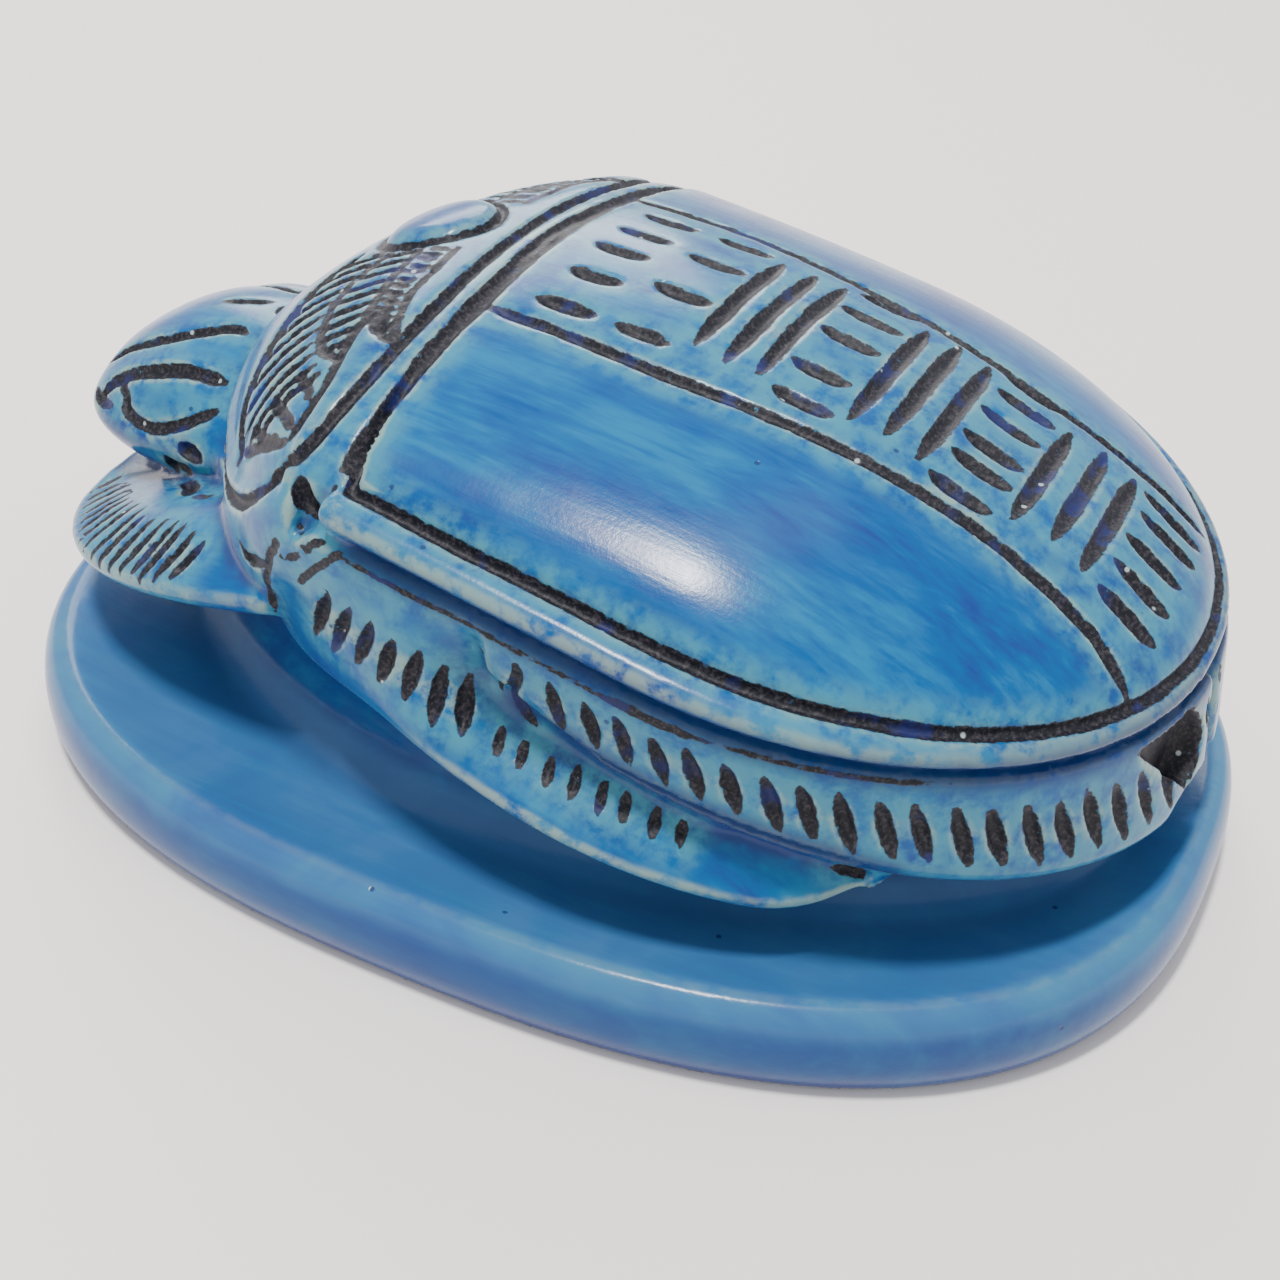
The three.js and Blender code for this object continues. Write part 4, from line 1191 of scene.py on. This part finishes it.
def gapToCarving(points, cutter):
    mesh = cutter.data
    tree = BVHTree.FromPolygons([v.co for v in mesh.vertices], [p.vertices for p in mesh.polygons])
    gaps = np.full(len(points), farGap)
    for i, p in enumerate(points):
        spot, normal, _, distance = tree.find_nearest(p, farGap * mm)
        if spot is not None:
            inside = (Vector(p) - spot).dot(normal) < 0
            gaps[i] = -distance / mm if inside else distance / mm
    return gaps


print("paint guides")
finalPoints = readPoints(scarab.data)
addValues(scarab.data, "gap", gapToCarving(finalPoints, carving))
addValues(scarab.data, "crease", gapToCarving(finalPoints, creasing))
addValues(scarab.data, "broad", nearestValues(plainPoints, plainBulge, finalPoints))
addValues(scarab.data, "fine", nearestValues(edgePoints, edgeBulge, finalPoints))
bpy.data.objects.remove(carving)
bpy.data.objects.remove(creasing)


# Turquoise glaze: darker in hollows and creases, where painted shade is laid over the pooled glaze, thin and
# pale over edges, with dark slip brushed into the carving

print("glaze")
# The pool tone is painted shade together with pooled glaze, laid into hollows and creases.
tones = {
    "deep": (0.004, 0.034, 0.19), "mid": (0.001, 0.074, 0.25), "light": (0.002, 0.140, 0.31),
    "poolAndShade": (0.012, 0.036, 0.15), "cove": (0.007, 0.020, 0.11), "dish": (0.046, 0.140, 0.31),
    "side": (0.016, 0.055, 0.19), "thin": (0.045, 0.22, 0.30), "cream": (0.26, 0.35, 0.28),
    "lilac": (0.020, 0.025, 0.15), "slip": (0.006, 0.007, 0.012), "dustySlip": (0.040, 0.035, 0.043),
    "blueSlip": (0.010, 0.016, 0.085), "chip": (0.34, 0.40, 0.40), "spot": (0.010, 0.025, 0.10)}

# A noise has a scale, detail, roughness, stretch, seed and distortion, specks a scale, seed, size and share
noises = {
    "streaks": (1.0, 4.0, 0.6, (0.55, 0.06, 0.3), 3.0, 0.5), "clouds": (0.075, 3.0, 0.55, None, 21.0, 0.8),
    "fineStreaks": (1.0, 3.0, 0.6, (2.2, 0.16, 1.2), 11.0, 0.3), "mottle": (0.55, 4.0, 0.6, None, 5.0),
    "grain": (3.2, 3.0, 0.6, None, 8.0), "wander": (1.3, 4.0, 0.65, None, 14.0),
    "wear": (0.9, 5.0, 0.7, None, 31.0), "blueing": (0.22, 3.0, 0.6, None, 41.0),
    "gloss": (0.35, 3.0, 0.6, None, 51.0), "slipGrain": (4.5, 4.0, 0.7, None, 61.0)}
speckles = {"spots": (0.33, 7.0, 0.085, 0.3), "chips": (0.55, 17.0, 0.14, 0.22)}
streakShares = {"streaks": 0.55, "fineStreaks": 0.2, "clouds": 0.45}

# Coats over the deep blue, in order: where each lies, how far it fades with a noise, and its strength
coats = [
    {"tone": "mid", "where": [("tone", 0.40, 0.60)]},
    {"tone": "light", "where": [("tone", 0.56, 0.76)]},
    # Painted shade with pooled glaze: darker in the broad hollows of the form
    {"tone": "poolAndShade", "where": [("broad", 0.06, -0.38), ("mottle", 0.12, 0.5)]},
    # The base top's lighter, more violet tone is partly its glaze and partly painted reflection
    {"tone": "dish", "where": [("height", 9.5, 8.0), ("height", 5.0, 6.6)], "fade": ("clouds", 0.6, 0.35)},
    {"tone": "side", "where": [("height", 6.8, 5.0)], "fade": ("clouds", 0.6, 0.3)},
    {"tone": "thin", "where": [("broad", 0.18, 0.7), ("clouds", 0.35, 0.6)], "strength": 0.6},
    {"tone": "thin", "where": [("gap", 2.6, 0.25), ("mottle", 0.30, 0.62)], "strength": 0.85},
    {"tone": "cream", "where": [("fine", 0.05, 0.12), ("mottle", 0.34, 0.55)], "strength": 0.62},
    # Painted shade with pooled glaze: dark navy in the creases under the bead and under the hind leg
    {"tone": "cove", "where": [("crease", 1.9, 0.1)], "fade": ("mottle", 0.6, 0.5)},
    # Painted shade with pooled glaze: darker in small hollows and at the foot of creases
    {"tone": "poolAndShade", "where": [("fine", -0.03, -0.12)], "strength": 0.75},
    {"tone": "lilac", "where": [("height", 3.0, 0.6), ("clouds", 0.3, 0.55)], "strength": 0.8},
    {"tone": "spot", "where": [], "fade": ("spots", 0.8, 0.0)}]
slipCoats = [("dustySlip", "grain", 0.45, 0.68), ("blueSlip", "blueing", 0.55, 0.66)]
slip = {
    "edge": 0.06, "wander": 0.42, "blur": 0.10, "wearFrom": 0.66, "wearTo": 0.72, "wear": -0.75,
    "roughness": 0.30}
relief = {"streaks": 0.5, "grain": 0.35, "pits": -1.2, "slip": 1.6, "strength": 0.35, "distance": 0.00006}
gloss = {"spread": 0.14, "least": 0.13}
glazeShader = {
    "IOR": 1.5, "Specular IOR Level": 0.22, "Sheen Weight": 0.04, "Sheen Tint": (0.72, 0.62, 1.0, 1),
    "Sheen Roughness": 0.4}


class Mixer:  # short names for the nodes of one material
    def __init__(self, tree):
        self.tree = tree
        place = tree.nodes.new("ShaderNodeTexCoord").outputs["Object"]
        scaled = addNode(tree, "ShaderNodeVectorMath", {"Vector": place, "Scale": 1 / mm}, operation="SCALE")
        self.place = scaled.outputs[0]

    def shifted(self, shift):
        return addNode(self.tree, "ShaderNodeMapping", {"Vector": self.place, "Location": shift})

    def noise(self, scale, detail=3.0, roughness=0.55, stretch=None, seed=0.0, distortion=0.0):
        where = self.shifted((seed, seed * 1.7, seed * 0.6))
        if stretch:
            where.inputs["Scale"].default_value = stretch
        links = {"Vector": where.outputs[0], "Scale": scale, "Detail": detail, "Roughness": roughness,
                 "Distortion": distortion}
        return addNode(self.tree, "ShaderNodeTexNoise", links).outputs["Fac"]

    def specks(self, scale, seed, size, share):  # round specks in some of the cells
        where = self.shifted((seed, seed, seed))
        cells = addNode(self.tree, "ShaderNodeTexVoronoi", {"Vector": where.outputs[0], "Scale": scale})
        chosen = addNode(self.tree, "ShaderNodeSeparateColor", {"Color": cells.outputs["Color"]})
        near = self.span(cells.outputs["Distance"], size, size * 0.55)
        return self.math("MULTIPLY", near, self.math("LESS_THAN", chosen.outputs[0], share))

    def math(self, operation, a, b=0.0, c=0.0):
        return calc(self.tree, operation, a, b, c)

    def span(self, value, low, high):  # 0 at low, 1 at high
        made = addNode(self.tree, "ShaderNodeMapRange", {"Value": value, "From Min": low, "From Max": high},
                       interpolation_type="SMOOTHSTEP")
        return made.outputs["Result"]

    def read(self, name):
        return addNode(self.tree, "ShaderNodeAttribute", attribute_name=name).outputs["Fac"]

    def blend(self, share, a, b):
        a, b = ((*tone, 1) if isinstance(tone, tuple) else tone for tone in (a, b))
        made = addNode(self.tree, "ShaderNodeMix", data_type="RGBA")
        for name, source in (("Factor_Float", share), ("A_Color", a), ("B_Color", b)):
            feed(self.tree, next(i for i in made.inputs if i.identifier == name), source)
        return next(o for o in made.outputs if o.identifier == "Result_Color")


def newMaterial(name, settings):
    material = bpy.data.materials.new(name)
    material.use_nodes = True
    shader = material.node_tree.nodes["Principled BSDF"]
    for label, value in settings.items():
        shader.inputs[label].default_value = value
    return material, material.node_tree, shader


def makeGlaze():
    material, tree, shader = newMaterial("turquoiseGlaze", glazeShader)
    m = Mixer(tree)
    value = {name: m.read(name) for name in ("gap", "broad", "fine", "crease")}
    value["height"] = addNode(tree, "ShaderNodeSeparateXYZ", {"Vector": m.place}).outputs["Z"]
    value.update((name, m.noise(*kit)) for name, kit in noises.items())
    value.update((name, m.specks(*kit)) for name, kit in speckles.items())
    value["tone"] = 0.0
    for name, share in reversed(streakShares.items()):
        value["tone"] = m.math("MULTIPLY_ADD", value[name], share, value["tone"])

    colour = tones["deep"]
    for coat in coats:
        share = coat.get("strength", 1.0)
        for name, low, high in coat["where"]:
            share = m.math("MULTIPLY", m.span(value[name], low, high), share)
        if "fade" in coat:
            name, times, plus = coat["fade"]
            share = m.math("MULTIPLY", m.math("MULTIPLY_ADD", value[name], times, plus), share)
        colour = m.blend(share, colour, tones[coat["tone"]])

    # The slip ends in a wandering line beside each cut, and is worn away in places
    limitLine = m.math("MULTIPLY_ADD", m.math("SUBTRACT", value["wander"], 0.5), slip["wander"], slip["edge"])
    slipShare = m.span(m.math("SUBTRACT", value["gap"], limitLine), slip["blur"], 0.0)
    worn = m.math("MULTIPLY_ADD", m.span(value["wear"], slip["wearFrom"], slip["wearTo"]), slip["wear"], 1.0)
    slipShare = m.math("MULTIPLY", slipShare, worn)
    slipColour = tones["slip"]
    for tone, name, low, high in slipCoats:
        slipColour = m.blend(m.span(value[name], low, high), slipColour, tones[tone])
    slipColour = m.blend(value["chips"], slipColour, tones["chip"])
    tree.links.new(m.blend(slipShare, colour, slipColour), shader.inputs["Base Color"])
    roughness = m.math("MULTIPLY_ADD", value["gloss"], gloss["spread"], gloss["least"])
    roughness = m.math("MULTIPLY_ADD", slipShare, slip["roughness"], roughness)
    tree.links.new(roughness, shader.inputs["Roughness"])

    rise = m.math("MULTIPLY", value["grain"], relief["grain"])
    rise = m.math("MULTIPLY_ADD", value["fineStreaks"], relief["streaks"], rise)
    rise = m.math("MULTIPLY_ADD", value["spots"], relief["pits"], rise)
    slipRise = m.math("MULTIPLY", value["slipGrain"], slipShare)
    rise = m.math("MULTIPLY_ADD", slipRise, relief["slip"], rise)
    bump = addNode(tree, "ShaderNodeBump", {"Height": rise, "Strength": relief["strength"],
                                            "Distance": relief["distance"]})
    tree.links.new(bump.outputs[0], shader.inputs["Normal"])
    return material


scarab.data.materials.clear()
scarab.data.materials.append(makeGlaze())


# Plain pale floor and soft light

floor = {"half": 0.6, "Base Color": (0.90, 0.86, 0.83, 1), "Roughness": 0.7}


def makeFloor():
    h = floor["half"]
    mesh = bpy.data.meshes.new("floor")
    mesh.from_pydata([(-h, -h, 0), (h, -h, 0), (h, h, 0), (-h, h, 0)], [], [(0, 1, 2, 3)])
    made = addObject("floor", mesh)
    mesh.materials.append(newMaterial("paleFloor", {k: floor[k] for k in ("Base Color", "Roughness")})[0])


def addLamp(name, place, size, power, colour, length=None):
    data = bpy.data.lights.new(name, "AREA")
    data.size = size
    data.energy = power
    data.color = colour
    if length:
        data.shape = "RECTANGLE"
        data.size_y = length
    lamp = bpy.data.objects.new(name, data)
    lamp.location = place
    lamp.rotation_euler = (Vector(studio["target"]) - Vector(place)).to_track_quat("-Z", "Y").to_euler()
    bpy.context.scene.collection.objects.link(lamp)


studio = {
    "sky": (0.97, 0.98, 1.0), "skyStrength": 1.0, "target": (0, 0, 0.02),
    "lamp": {"place": (0.118, -0.012, 0.60), "size": 0.056, "length": 0.10, "power": 4.5,
             "colour": (1.0, 0.98, 0.95)},
    "panel": {"place": (-0.12, 0.06, 0.70), "size": 0.10, "length": 0.30, "power": 0.25,
              "colour": (0.93, 0.96, 1.0)},
    "fill": {"place": (-0.62, -0.45, 0.42), "size": 0.45, "power": 5.0, "colour": (1.0, 0.97, 0.94)}}


def makeLight():
    world = bpy.data.worlds.new("studio")
    world.use_nodes = True
    sky = world.node_tree.nodes["Background"]
    sky.inputs["Color"].default_value = (*studio["sky"], 1)
    sky.inputs["Strength"].default_value = studio["skyStrength"]
    bpy.context.scene.world = world
    for name in ("lamp", "panel", "fill"):
        addLamp(name, **studio[name])


makeFloor()
makeLight()

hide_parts("scarab")
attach(scarab, "root")
